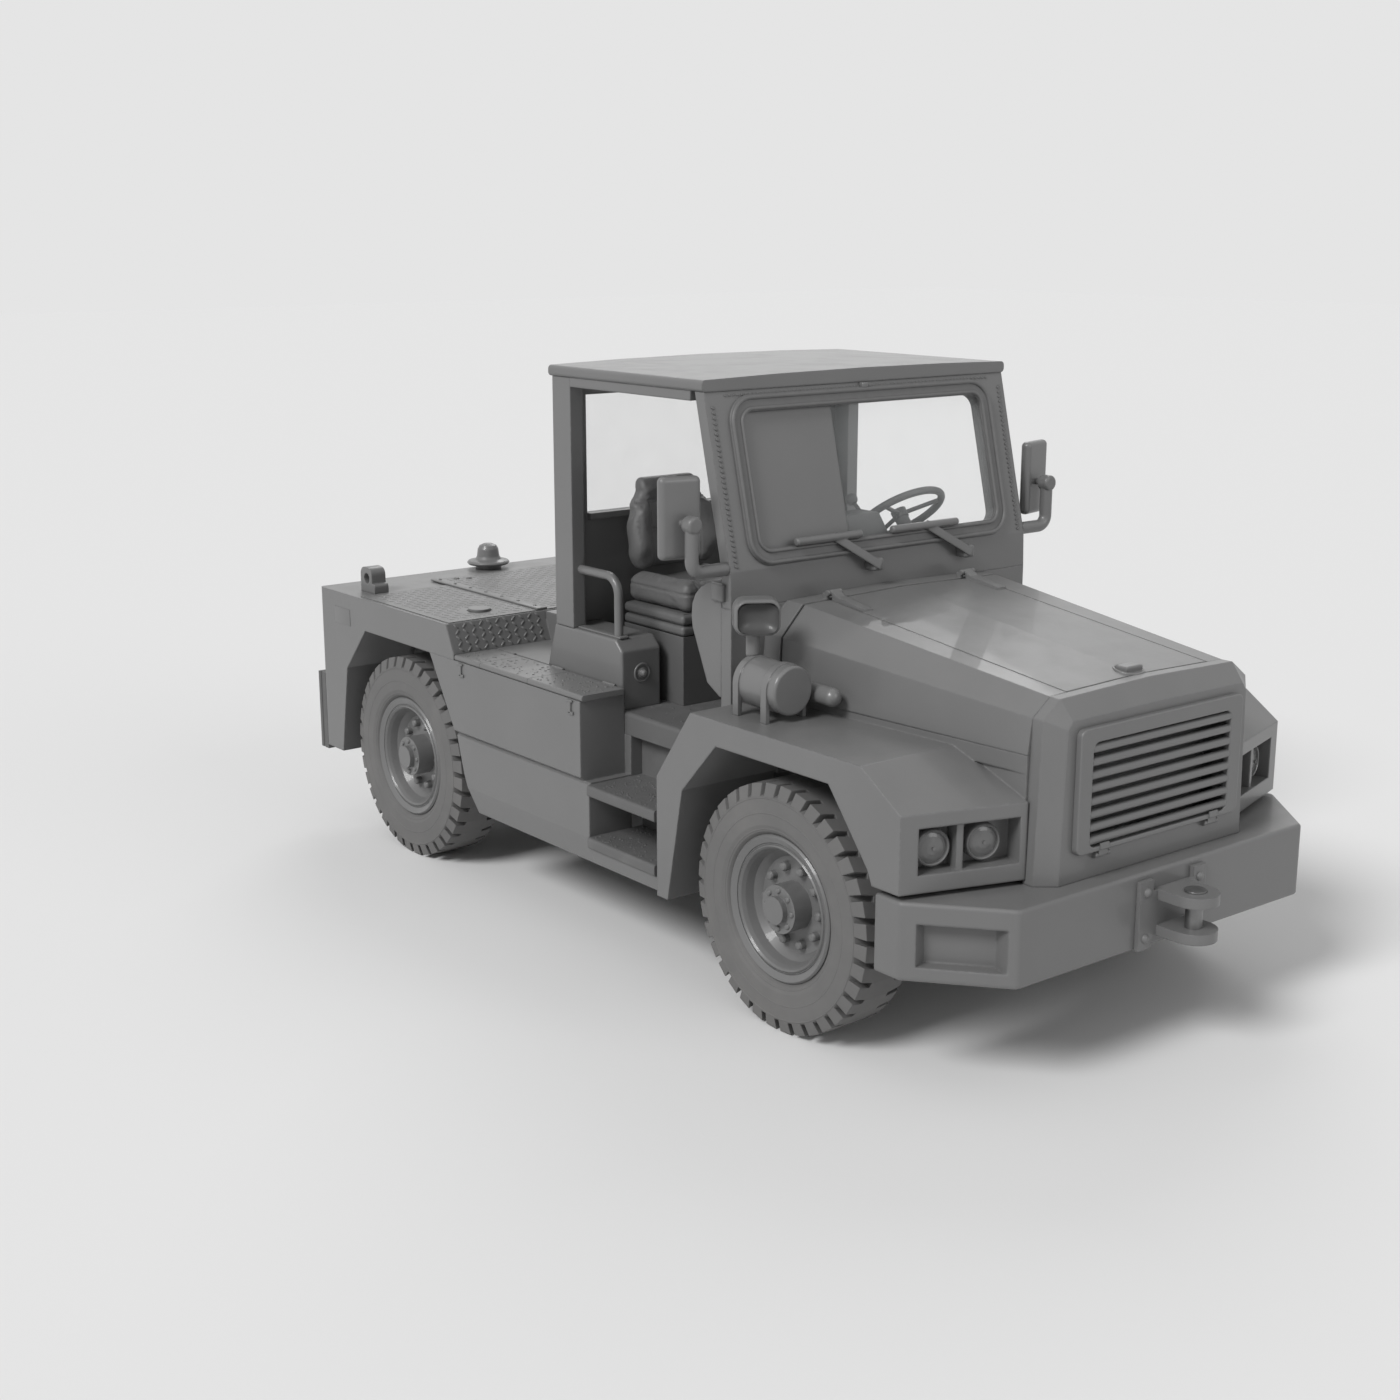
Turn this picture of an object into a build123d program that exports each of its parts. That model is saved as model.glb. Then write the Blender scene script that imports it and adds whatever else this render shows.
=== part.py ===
from build123d import *
import os
from math import asin, atan2, cos, degrees, pi, radians, sin

# Aircraft pushback tractor in millimetres.
# X points forward, Y to the vehicle's left and Z up from the ground.
# The origin is on the ground under the middle of the overall length.

# Overall sizes
HALF_LENGTH = 2500
HALF_WIDTH = 1100
SEAT_GAP = 0.3
MOVE_GAP = 6
PANEL = 20
BOX_WIDTH = 240
CAB_HALF = HALF_WIDTH - BOX_WIDTH
REAR_FACE_X = 94 - HALF_LENGTH
BUMPER_FRONT_X = HALF_LENGTH - 213

# Wheels
FRONT_AXLE_X = BUMPER_FRONT_X - 1051
REAR_AXLE_X = REAR_FACE_X + 787
TYRE_RADIUS = 505
TYRE_WIDTH = 270
TYRE_INSET = 29
WHEEL_Y = HALF_WIDTH - TYRE_INSET - TYRE_WIDTH / 2
BEAD_RADIUS = 256
FLANGE_RADIUS = 298
RIM_WIDTH = 246
RIM_WALL = 14
FLANGE_ROUND = 8
DISC_OFFSET = 14
DISC_THICK = 14
HUB_RADIUS = 98
HUB_FACE = 118
HUB_BORE_DEPTH = 88
HUB_CAP_RADIUS = 56
HUB_CAP_FACE = 144
WHEEL_STUDS = 10
STUD_CIRCLE = 158
STUD_RADIUS = 19
HUB_BOLTS = 8
HUB_BOLT_CIRCLE = 78
HUB_BOLT_RADIUS = 12
SPINDLE_RADIUS = 38
LUG_DEPTH = 24
LUG_WALL_RADIUS = 453
LUG_TUCK = 3
LUG_COUNT = 36
LUG_GROOVE = 24
LUG_REACH = 80
LUG_SLANT = 15
LUG_SHOULDER = 18

# Steering
KINGPIN_INSET = 80
KINGPIN_Y = WHEEL_Y - KINGPIN_INSET
KINGPIN_RADIUS = 28
KNUCKLE_RADIUS = 52
KNUCKLE_HALF = 105
FORK_THICK = 34
FORK_HALF = 44
FORK_REACH = 150
ARM_BACK = 140
ARM_ROOT_DROP = 45
ARM_BALL_DROP = 80
ARM_RADIUS = 16
ARM_BOSS_RADIUS = 26
ARM_BOSS_HALF = 24
TIE_ROD_RADIUS = 18
TIE_END_RADIUS = 24
TIE_END_HIGH = 46

# Axles, springs and frame
AXLE_TUBE_RADIUS = 72
FRONT_DIFF_RADIUS = 142
REAR_DIFF_RADIUS = 190
FRONT_NOSE = 260
REAR_NOSE = 330
REAR_TUBE_RADIUS = 84
REAR_HUB_Y = WHEEL_Y - 70
BRAKE_RADIUS = 150
SPRING_WIDTH = 76
SPRING_HALF = 470
SPRING_THICK = 62
SPRING_BASE_Z = TYRE_RADIUS + AXLE_TUBE_RADIUS + 14
RAIL_Y = HALF_WIDTH - 660
SPRING_Y = RAIL_Y
RAIL_WIDTH = 80
RAIL_SIDE_Y = RAIL_Y + RAIL_WIDTH / 2
RAIL_BASE_Z = 680
RAIL_TOP_Z = 860
RAIL_WALL = 14
RAIL_REAR_X = REAR_FACE_X + 76
RAIL_FRONT_X = BUMPER_FRONT_X - 167
ENGINE_REAR_X = FRONT_AXLE_X - 386
ENGINE_FRONT_X = FRONT_AXLE_X + 544
ENGINE_HALF = RAIL_Y - 160
ENGINE_TOP_Z = 1330

# Rear body
DECK_Z = 1262
DECK_FRONT_X = REAR_AXLE_X + 477
SLOPE_FOOT_X = REAR_AXLE_X + 539
ARCH_TOP_Z = 1100
REAR_SKIRT_Z = 411
HUMP_HALF = HALF_WIDTH - 555
ARCH_DEPTH = 380
REAR_CORNER_RADIUS = 24
REAR_PLATE = 76
DECK_PLATE = 4
DECK_SEAM = 12
DECK_PLATE_REAR_X = REAR_AXLE_X - 393
MIDDLE_PLATE_REAR_X = REAR_AXLE_X - 571

# Side boxes, steps and lids
LID_TOP_Z = 1127
LID_THICK = 26
LID_FRONT_X = -24
BOX_FRONT_X = -40
BOX_FOOT_Z = 758
SKIRT_TOP_Z = 741
SKIRT_FRONT_X = 4
CREASE_Z = 490
SILL_FOOT_Z = 371
TUCK = 38
GROOVE = 12
BOX_INNER_Z = 600
LOCKER_REAR_X = SLOPE_FOOT_X + 80
LOCKER_BASE_Z = 560
LID_REAR_X = SLOPE_FOOT_X + 8
LID_INNER_Y = CAB_HALF + 8
HINGE_RADIUS = 6
STEP_FRONT_X = FRONT_AXLE_X - 746
STEP_THICK = 52
UPPER_STEP_Z = 735
LOWER_STEP_Z = 497
STEP_EDGE = 12
WELL_Y = CAB_HALF - 60

# Front fenders
FENDER_REAR_X = FRONT_AXLE_X - 726
FENDER_BEND_Z = 892
FENDER_SLOPE_X = FRONT_AXLE_X - 500
FENDER_TOP_Z = 1206
RIDGE_X = FRONT_AXLE_X + 499
NOSE_OUTER_X = FRONT_AXLE_X + 714
NOSE_INNER_X = FRONT_AXLE_X + 868
NOSE_TOP_Z = 1066
NOSE_FOOT_Z = 768
FENDER_INNER_Y = HALF_WIDTH - 494
BAY_WALL = 24
LAMP_POCKET_REACH = (74, 489)
LAMP_POCKET_BASE_Z = 836
LAMP_POCKET_TOP_Z = 1012
LAMP_POCKET_DEPTH = 92
LAMP_RIB_REACH = 237
LAMP_RIB = 27
LAMP_RIB_SETBACK = 18
LAMP_REACHES = (154, 361)
LAMP_RADIUS = 72
LAMP_BODY = 40
LAMP_DOME = 14
LAMP_BEZEL = 12
LAMP_NUB = 7

# Bumper and tow jaws
BUMPER_BASE_Z = 446
BUMPER_TOP_Z = 748
BUMPER_FACE_HALF = HALF_WIDTH - 273
BUMPER_SIDE_X = BUMPER_FRONT_X - 332
BUMPER_REAR_X = BUMPER_FRONT_X - 457
BUMPER_WALL = 95
BUMPER_TOP_PLATE = 30
BUMPER_EDGE = 14
BUMPER_POCKET = 60
BUMPER_POCKET_BASE_Z = 504
BUMPER_POCKET_TOP_Z = 668
JAW_HALF = 92
JAW_PIN_X = HALF_LENGTH - JAW_HALF
JAW_PIN_RADIUS = 33
JAW_PIN_HEAD = 8
JAW_PIN_LIFT = 145
JAW_PLATE = 42
JAW_TOP_Z = 675
JAW_GAP = 100
JAW_FOOT_Y = 155
JAW_FOOT_WIDTH = 74
JAW_FOOT_THICK = 20
JAW_BOLT_RADIUS = 18
JAW_BOLT_INSET = 46
REAR_POCKET_HALF = JAW_FOOT_Y + JAW_FOOT_WIDTH / 2 + MOVE_GAP

# Hood, radiator shell and grille
HOOD_REAR_X = FRONT_AXLE_X - 436
HOOD_FRONT_X = FRONT_AXLE_X + 854
HOOD_FOOT_Z = 1236
HOOD_REAR_HALF = FENDER_INNER_Y + 88
HOOD_REAR_SIDE = (FENDER_INNER_Y + 74, 1472)
HOOD_REAR_TOP = (FENDER_INNER_Y - 43, 1594)
HOOD_FRONT_SIDE = (FENDER_INNER_Y - 18, 1375)
HOOD_FRONT_TOP = (FENDER_INNER_Y - 108, 1442)
HOOD_CROWN = 13
HOOD_WALL = 16
LID_HALF_REAR = FENDER_INNER_Y - 181
LID_HALF_FRONT = FENDER_INNER_Y - 196
HOOD_SEAM = 6
COWL_SEAM = 12
HOOD_LATCH_X = HOOD_FRONT_X - 54
HOOD_LATCH = (30, 45, 20)
HINGE_X = HOOD_REAR_X - 3
HINGE_Z = 1622
HINGE_Y = LID_HALF_REAR - 33
HINGE_EYE = 13
HINGE_PIN = 6
HINGE_HALF = 25
HINGE_EAR = 15
STRAP_LENGTH = 208
STRAP_PROUD = 10
SHELL_BEVEL_X = HOOD_FRONT_X + 50
SHELL_FACE_X = SHELL_BEVEL_X + 60
SHELL_BASE_Z = BUMPER_TOP_Z
SHELL_FACE_FOOT = FENDER_INNER_Y - 73
SHELL_FACE_TOP_Z = 1368
CORE_HALF = FENDER_INNER_Y - 176
GRILLE_HALF = SHELL_FACE_FOOT - 63
GRILLE_BASE_Z = 856
GRILLE_TOP_Z = 1335
GRILLE_OPEN_HALF = GRILLE_HALF - 70
GRILLE_OPEN_BASE_Z = 876
GRILLE_OPEN_TOP_Z = 1278
GRILLE_THICK = 26
GRILLE_CORNER = 30
GRILLE_BARS = 8
GRILLE_BAR_RADIUS = 17
GRILLE_EDGE = 6
GRILLE_HINGE_Y = GRILLE_OPEN_HALF - 80
GRILLE_EYE = 11
GRILLE_EYE_HALF = 24
GRILLE_EAR = 16
GRILLE_STRAP = 5
GRILLE_PIN_RADIUS = 6
GRILLE_PIN_X = SHELL_FACE_X + SEAT_GAP + GRILLE_THICK / 2
GRILLE_PIN_Z = GRILLE_BASE_Z - 16

# Cab
CAB_FLOOR_Z = 1018
CAB_FLOOR_THICK = 100
FIREWALL_X = FRONT_AXLE_X - 600
SCREEN_FOOT_X = FIREWALL_X + 64
SCREEN_FOOT_Z = 1588
SCREEN_BEND_X = FIREWALL_X + 58
SCREEN_BEND_Z = 1740
SCREEN_TOP_X = FIREWALL_X - 117
ROOF_BASE_Z = 2450
ROOF_THICK = 60
ROOF_REAR_X = -576
ROOF_FRONT_X = SCREEN_TOP_X + 5
ROOF_HALF = CAB_HALF + 12
ROOF_CROWN = 12
ROOF_EDGE = 18
DRIP_RAIL = 40
SCREEN_THICK = 58
PLATE_THICK = 14
PLATE_FOOT_Z = 1214
POST_HINGE_HALF = 36
POST_HINGE_PROUD = 18
POST_HINGE_Z = 1652
SCREEN_OPEN_HALF = CAB_HALF - 165
SCREEN_OPEN_BASE_Z = 1806
SCREEN_OPEN_TOP_Z = ROOF_BASE_Z - 81
SCREEN_CORNER = 60
GASKET_WIDTH = 60
GASKET_PROUD = 12
PANE_EDGE_Y = -186
POST_REAR_X = -562
POST_FRONT_X = -425
POST_WIDTH = 66
REAR_WALL = 44
SILL_TOP_Z = 1331
SILL_WIDTH = 215
SILL_REAR_X = POST_REAR_X - 70
SILL_SLOPE = 64
SILL_FRONT_X = -60
SILL_CUT = 50
SILL_EDGE = 20
SILL_KNOB = (748, 1176)
SILL_KNOB_RADIUS = 24
REAR_WINDOW_HALF = CAB_HALF - 148
REAR_WINDOW_BASE_Z = 1830
REAR_WINDOW_TOP_Z = ROOF_BASE_Z - 88
REAR_LEDGE = 28
GLASS = 6

# Seats and controls
PASSENGER_Y = 510 - CAB_HALF
SEAT_WIDTH = CAB_HALF - 350
SEAT_REAR_X = -420
SEAT_FRONT_X = 60
SEAT_BOX_Z = 1330
SEAT_CUSHION_Z = 1430
SEAT_TOP_Z = 1560
SEAT_BACK_TOP_Z = 2005
DRIVER_Y = CAB_HALF - 475
STEER_Y = CAB_HALF - 460
WHEEL_HUB_X = FIREWALL_X - 276
WHEEL_HUB_Z = 1824
COLUMN_ANGLE = 52
COLUMN_RADIUS = 32
STEER_RADIUS = 205
STEER_RIM = 14
STEER_HUB_RADIUS = 36
STEER_HUB_HALF = 20
STEER_SPOKE = 10
DASH_HALF = CAB_HALF - 160
DASH_TOP_Z = 1745
DASH_BASE_Z = 1520
DASH_REAR_X = FIREWALL_X - 156
BINNACLE_Y = -50
BINNACLE_HALF = 193
BINNACLE_TOP_HALF = 100
BINNACLE_TOP_Z = 1893
BINNACLE_REAR_X = FIREWALL_X - 166
BINNACLE_FRONT_X = FIREWALL_X - 46
LEVER_TOP = (FIREWALL_X - 206, 37, 1931)
LEVER_KNOB = 27

# Fittings outside the cab
MIRROR_X = FIREWALL_X + 28
MIRROR_Y = CAB_HALF + 175
MIRROR_ARM_Z = 1752
MIRROR_ARM_RADIUS = 28
MIRROR_ARM_BEND = 48
MIRROR_KNOB_Z = 1947
MIRROR_KNOB_RADIUS = 36
MIRROR_KNOB_HALF = 30
MIRROR_KNOB_EDGE = 12
MIRROR_STALK = 14
MIRROR_BACK = 84
MIRROR_MID_Z = 1966
MIRROR_WIDE = 180
MIRROR_HIGH = 334
MIRROR_DEEP = 50
MIRROR_TURN = 14
MIRROR_EDGE = 22
WIPER_FOOT_Z = 1700
WIPER_BLADE_Z = 1832
WIPER_BLADE_RADIUS = 17
WIPER_ARM_HALF = 18
WIPER_ARM_THICK = 12
WIPER_FOOT = (50, 60, 56)
HANDLE_TOP_Z = 1596
HANDLE_FRONT_X = -140
HANDLE_RADIUS = 20
HANDLE_BEND = 80
HANDLE_INSET = 45
CLEANER_Y = 220 - HALF_WIDTH
CLEANER_REAR_X = FENDER_SLOPE_X + 114
CLEANER_FRONT_X = CLEANER_REAR_X + 262
CLEANER_RADIUS = 100
CLEANER_RISE = 127
CLEANER_BAND = 5
CLEANER_BAND_HALF = 17
CLEANER_BANDS = (CLEANER_REAR_X + 30, CLEANER_REAR_X + 202)
OUTLET_Y = CLEANER_Y + 152
OUTLET_Z = 1296
OUTLET_RADIUS = 38
OUTLET_FRONT_X = CLEANER_REAR_X + 355
INTAKE_X = CLEANER_REAR_X + 12
INTAKE_PIPE_RADIUS = 29
INTAKE_Z = 1597
INTAKE_SIZE = (150, 188, 150)
INTAKE_EDGE = 48
INTAKE_WALL = 14
INTAKE_TURN = -33
INTAKE_DEEP = 128

# Fittings on the rear body
EYE_X = REAR_AXLE_X - 481
EYE_Y = HALF_WIDTH - 150
EYE_HIGH = 130
EYE_STEP = 52
EYE_EDGE = 10
EYE_HOLE = 27
BEACON_X = REAR_FACE_X + 74
BEACON_Y = -112
BEACON_FOOT = 70
BEACON_BRIM = 116
BEACON_BRIM_Z = 24
BEACON_RADIUS = 62
BEACON_HIGH = 138
FILLER_X = REAR_AXLE_X + 295
FILLER_Y = 300 - HALF_WIDTH
FILLER_RADIUS = 55
PAD_WIDTH = 210
PAD_INSET = 8
PAD_EDGE = 22
PAD_RIBS = 4
PAD_GROOVE = 14
PAD_BASE_Z = 384
PAD_TOP_Z = 796
TAIL_LAMP_Z = 1000

# Wiper places across the screen: foot, elbow, and the two ends of the blade
WIPERS = (
    (-94, -300, -520, -153),
    (455, 238, 23, 420),
)

SIDES = (("right", -1), ("left", 1))


def across(points, y_low, y_high):
    """A side profile of (x, z) points carried across the vehicle."""
    face = make_face(Polyline([(x, y_low, z) for x, z in points], close=True))
    return extrude(face, y_high - y_low, dir=(0, 1, 0))


def upward(points, z_low, z_high):
    """A plan of (x, y) points carried up."""
    face = make_face(Polyline([(x, y, z_low) for x, y in points], close=True))
    return extrude(face, z_high - z_low, dir=(0, 0, 1))


def block(x_span, y_span, z_span):
    """A box between two x, two y and two z values."""
    low = (x_span[0], y_span[0], z_span[0])
    size = (x_span[1] - x_span[0], y_span[1] - y_span[0], z_span[1] - z_span[0])
    return Pos(*low) * Box(*size, align=(Align.MIN, Align.MIN, Align.MIN))


def rod(start, end, radius):
    """A round bar between the centres of its two end faces."""
    start = Vector(*start)
    run = Vector(*end) - start
    return Plane(origin=start, z_dir=run) * Cylinder(
        radius, run.length, align=(Align.CENTER, Align.CENTER, Align.MIN))


def domed(start, end, radius, rise):
    """A round body between two centres, its end face swelling into part of a ball."""
    start = Vector(*start)
    run = Vector(*end) - start
    plane = Plane(origin=start, z_dir=run)
    ball = (radius ** 2 + rise ** 2) / (2 * rise)
    half_turn = asin(min(1, radius / ball)) / 2
    if rise > radius - 0.001:
        half_turn = pi / 4
    centre = run.length + rise - ball
    corner = plane.from_local_coords((radius, 0, run.length))
    middle = plane.from_local_coords((ball * sin(half_turn), 0, centre + ball * cos(half_turn)))
    top = plane.from_local_coords((0, 0, run.length + rise))
    sides = Polyline(top, start, plane.from_local_coords((radius, 0, 0)), corner)
    return revolve(make_face([sides, ThreePointArc(corner, middle, top)]), axis=Axis(start, run))


def turned(start, end, outline):
    """A round body about the line from start towards end, from (distance, radius) points."""
    start = Vector(*start)
    plane = Plane(origin=start, z_dir=Vector(*end) - start)
    points = [plane.from_local_coords((radius, 0, distance)) for distance, radius in outline]
    return revolve(make_face(Polyline(points, close=True)), axis=Axis(start, plane.z_dir))


def other_side(shape):
    """The same piece on the other side of the vehicle."""
    return mirror(shape, about=Plane.XZ)


def on_side(shape, side):
    """A piece drawn on the left, put on the left or the right."""
    return shape if side > 0 else other_side(shape)


def along(points, x_low, x_high):
    """A cross-section of (y, z) points carried forward."""
    face = make_face(Polyline([(x_low, y, z) for y, z in points], close=True))
    return extrude(face, x_high - x_low, dir=(1, 0, 0))


def section_loft(front_points, front_x, rear_points, rear_x):
    """A ruled body between two cross-sections of (y, z) points."""
    sections = []
    for points, x in ((rear_points, rear_x), (front_points, front_x)):
        sections.append(make_face(Polyline([(x, y, z) for y, z in points], close=True)))
    return loft(sections, ruled=True)


def save(node, *pieces):
    """Write one node, as one solid or as solids that stay apart."""
    solids = [solid for piece in pieces for solid in piece.solids()]
    shape = solids[0] if len(solids) == 1 else Compound(children=solids)
    export_step(shape, f"parts/{node}.step")


# Wheels


def tyre():
    """Tyre about the origin, its outer side at +Y, with its beads inside the rim flanges."""
    half = TYRE_WIDTH / 2
    bead_half = RIM_WIDTH / 2 - RIM_WALL - SEAT_GAP
    outline = [
        (BEAD_RADIUS, bead_half),
        (FLANGE_RADIUS + 2, bead_half),
        (FLANGE_RADIUS + 14, half - 12),
        (FLANGE_RADIUS + 40, half - 2),
        (TYRE_RADIUS * 0.78, half),
        (LUG_WALL_RADIUS - LUG_TUCK, half - LUG_TUCK),
    ]
    outline += [(radius, -y) for radius, y in reversed(outline)]
    face = make_face(Polyline([(radius, y, 0) for radius, y in outline], close=True))
    pitch = 360 / LUG_COUNT
    lug = tread_lug(pitch)
    lugs = [Rot(0, pitch * (index + 0.5), 0) * lug for index in range(LUG_COUNT)]
    ring = lugs[0].fuse(*lugs[1:])
    return revolve(face, axis=Axis.Y) + ring


def tread_section(turn):
    """Cross-section of the tread, turned about the wheel's axis by an angle in degrees."""
    half = TYRE_WIDTH / 2
    outline = [
        (LUG_WALL_RADIUS - 3 * LUG_TUCK, half - 2 * LUG_TUCK), (LUG_WALL_RADIUS, half - LUG_TUCK),
        (TYRE_RADIUS, half - LUG_SHOULDER),
    ]
    outline += [(radius, -y) for radius, y in reversed(outline)]
    turn = radians(turn)
    return make_face(Polyline([(r * sin(turn), y, r * cos(turn)) for r, y in outline], close=True))


def tread_lug(pitch):
    """One flat pitch of the tread, its lugs parted from the next by slanted shoulder grooves."""
    side_y = TYRE_WIDTH / 2 - LUG_TUCK
    lug = loft([tread_section(-pitch / 2), tread_section(pitch / 2)], ruled=True)
    fall = degrees(atan2(TYRE_RADIUS - LUG_DEPTH - LUG_WALL_RADIUS, LUG_REACH))
    floor = Pos(0, side_y - LUG_REACH, TYRE_RADIUS - LUG_DEPTH) * Rot(-fall, 0, 0)
    middle = Pos(0, side_y - LUG_REACH / 2, 0)
    groove = floor * Box(LUG_GROOVE, 2 * LUG_REACH, 3 * LUG_DEPTH, align=(Align.CENTER, Align.MIN, Align.MIN))
    groove = middle * Rot(0, 0, LUG_SLANT) * middle.inverse() * groove
    for turn in (-pitch / 2, pitch / 2):
        for cut in both(groove):
            lug -= Rot(0, turn, 0) * cut
    return lug


def rim():
    """Rim, disc and hub about the origin, the outer side at +Y."""
    half = RIM_WIDTH / 2
    barrel = BEAD_RADIUS - SEAT_GAP
    inner = barrel - RIM_WALL
    disc_in = DISC_OFFSET
    disc_out = DISC_OFFSET + DISC_THICK
    outline = [
        (SPINDLE_RADIUS + SEAT_GAP, disc_in),
        (inner, disc_in),
        (inner, -half),
        (FLANGE_RADIUS, -half),
        (FLANGE_RADIUS, RIM_WALL - half),
        (barrel, RIM_WALL - half),
        (barrel, half - RIM_WALL),
        (FLANGE_RADIUS, half - RIM_WALL),
        (FLANGE_RADIUS, half - FLANGE_ROUND),
        (FLANGE_RADIUS - FLANGE_ROUND, half),
        (FLANGE_RADIUS - 2 * FLANGE_ROUND, half - FLANGE_ROUND / 2),
        (inner + 2 * FLANGE_ROUND, half - 2 * FLANGE_ROUND),
        (inner + FLANGE_ROUND, half - FLANGE_ROUND),
        (inner, half - 2 * FLANGE_ROUND),
        (inner - FLANGE_ROUND, half - 4 * FLANGE_ROUND),
        (inner - 20, disc_out + 30),
        (inner - 46, disc_out),
        (HUB_RADIUS, disc_out),
        (HUB_RADIUS, HUB_FACE),
        (HUB_CAP_RADIUS, HUB_FACE),
        (HUB_CAP_RADIUS, HUB_CAP_FACE),
        (0, HUB_CAP_FACE),
        (0, HUB_BORE_DEPTH),
        (SPINDLE_RADIUS + SEAT_GAP, HUB_BORE_DEPTH),
    ]
    face = make_face(Polyline([(radius, y, 0) for radius, y in outline], close=True))
    wheel = revolve(face, axis=Axis.Y)
    for count, circle, radius, foot, head in (
        (WHEEL_STUDS, STUD_CIRCLE, STUD_RADIUS, disc_out - 4, disc_out + 34),
        (HUB_BOLTS, HUB_BOLT_CIRCLE, HUB_BOLT_RADIUS, HUB_FACE - 4, HUB_FACE + 9),
    ):
        for index in range(count):
            turn = 2 * pi * index / count
            x = circle * cos(turn)
            z = circle * sin(turn)
            wheel += turned((x, foot, z), (x, head, z), (
                (0, 0), (0, radius), (head - foot - radius * 0.5, radius),
                (head - foot - radius * 0.14, radius * 0.74), (head - foot, 0)))
    return wheel


def save_wheels():
    left_tyre = tyre()
    left_rim = rim()
    for place, x in (("front", FRONT_AXLE_X), ("rear", REAR_AXLE_X)):
        for name, side in SIDES:
            centre = Pos(x, side * WHEEL_Y, TYRE_RADIUS)
            save(f"tyre_{place}_{name}", centre * on_side(left_tyre, side))
            save(f"rim_{place}_{name}", centre * on_side(left_rim, side))


# Axles and steering


def spindle(side):
    """Round stub that carries a wheel, from the kingpin out into the hub."""
    foot = (FRONT_AXLE_X, side * (KINGPIN_Y + KINGPIN_RADIUS), TYRE_RADIUS)
    tip = (FRONT_AXLE_X, side * (WHEEL_Y + HUB_BORE_DEPTH - MOVE_GAP), TYRE_RADIUS)
    return rod(foot, tip, SPINDLE_RADIUS)


def knuckle(side):
    """Steering knuckle: kingpin boss, spindle, brake flange and a steering arm with its ball seat."""
    x, y, z = FRONT_AXLE_X, side * KINGPIN_Y, TYRE_RADIUS
    body = rod((x, y, z - KNUCKLE_HALF), (x, y, z + KNUCKLE_HALF), KNUCKLE_RADIUS)
    body += spindle(side)
    body += rod((x, side * (KINGPIN_Y + 46), z), (x, side * (KINGPIN_Y + 72), z), 2 * SPINDLE_RADIUS)
    ball_z = z - ARM_BALL_DROP
    body += rod((x - KINGPIN_RADIUS, y, z - ARM_ROOT_DROP), (x - ARM_BACK, y, ball_z), ARM_RADIUS)
    body += rod((x - ARM_BACK, y, ball_z - ARM_BOSS_HALF), (x - ARM_BACK, y, ball_z + ARM_BOSS_HALF),
                ARM_BOSS_RADIUS)
    bore = rod((x, y, z - TYRE_RADIUS), (x, y, z + TYRE_RADIUS), KINGPIN_RADIUS + SEAT_GAP)
    return body - bore


def tie_rod():
    """Tie rod between the two steering arms, hung just below their ball seats."""
    x = FRONT_AXLE_X - ARM_BACK
    top = TYRE_RADIUS - ARM_BALL_DROP - ARM_BOSS_HALF - SEAT_GAP
    middle = top - TIE_END_HIGH / 2
    bar = rod((x, -KINGPIN_Y, middle), (x, KINGPIN_Y, middle), TIE_ROD_RADIUS)
    for side in (-1, 1):
        y = side * KINGPIN_Y
        bar += rod((x, y, top - TIE_END_HIGH), (x, y, top), TIE_END_RADIUS)
    return bar


def diff_housing(x, radius, nose):
    """Round differential housing with its pinion nose."""
    centre = Pos(x, 0, TYRE_RADIUS) * Sphere(radius)
    end = (x + nose, 0, TYRE_RADIUS)
    return centre + rod((x, 0, TYRE_RADIUS), end, radius * 0.52)


def front_axle():
    """Steered drive axle: tube, housing, and a fork with its kingpin at each end."""
    x, z = FRONT_AXLE_X, TYRE_RADIUS
    fork_in = KINGPIN_Y - FORK_REACH
    axle = rod((x, -fork_in, z), (x, fork_in, z), AXLE_TUBE_RADIUS)
    axle += diff_housing(x, FRONT_DIFF_RADIUS, -FRONT_NOSE)
    ear_low = KNUCKLE_HALF + SEAT_GAP
    ear_high = KNUCKLE_HALF + FORK_THICK
    for side in (-1, 1):
        y = side * KINGPIN_Y
        heel = sorted((side * (fork_in - 6), side * (fork_in + FORK_HALF)))
        axle += block((x - FORK_HALF, x + FORK_HALF), heel, (z - ear_high, z + ear_high))
        for low, high in ((z - ear_high, z - ear_low), (z + ear_low, z + ear_high)):
            axle += block((x - FORK_HALF, x + FORK_HALF), sorted((side * fork_in, y)), (low, high))
            axle += rod((x, y, low), (x, y, high), FORK_HALF)
        axle += rod((x, y, z - ear_high), (x, y, z + ear_high), KINGPIN_RADIUS)
        axle += spring_seat(x, side)
    return axle


def spring_seat(x, side):
    """Pad on an axle under one leaf pack."""
    half = SPRING_WIDTH / 2 + 2
    return block((x - 70, x + 70), (side * SPRING_Y - half, side * SPRING_Y + half),
                 (TYRE_RADIUS + 40, SPRING_BASE_Z))


def rear_axle():
    """Driven rear axle with its brake drums and the stubs that carry the wheels."""
    x, z = REAR_AXLE_X, TYRE_RADIUS
    axle = rod((x, -REAR_HUB_Y, z), (x, REAR_HUB_Y, z), REAR_TUBE_RADIUS)
    axle += diff_housing(x, REAR_DIFF_RADIUS, REAR_NOSE)
    for side in (-1, 1):
        axle += rod((x, side * (REAR_HUB_Y - 60), z), (x, side * REAR_HUB_Y, z), BRAKE_RADIUS)
        tip = side * (WHEEL_Y + HUB_BORE_DEPTH - MOVE_GAP)
        axle += rod((x, side * REAR_HUB_Y, z), (x, tip, z), SPINDLE_RADIUS)
        axle += spring_seat(x, side)
    return axle


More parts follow.
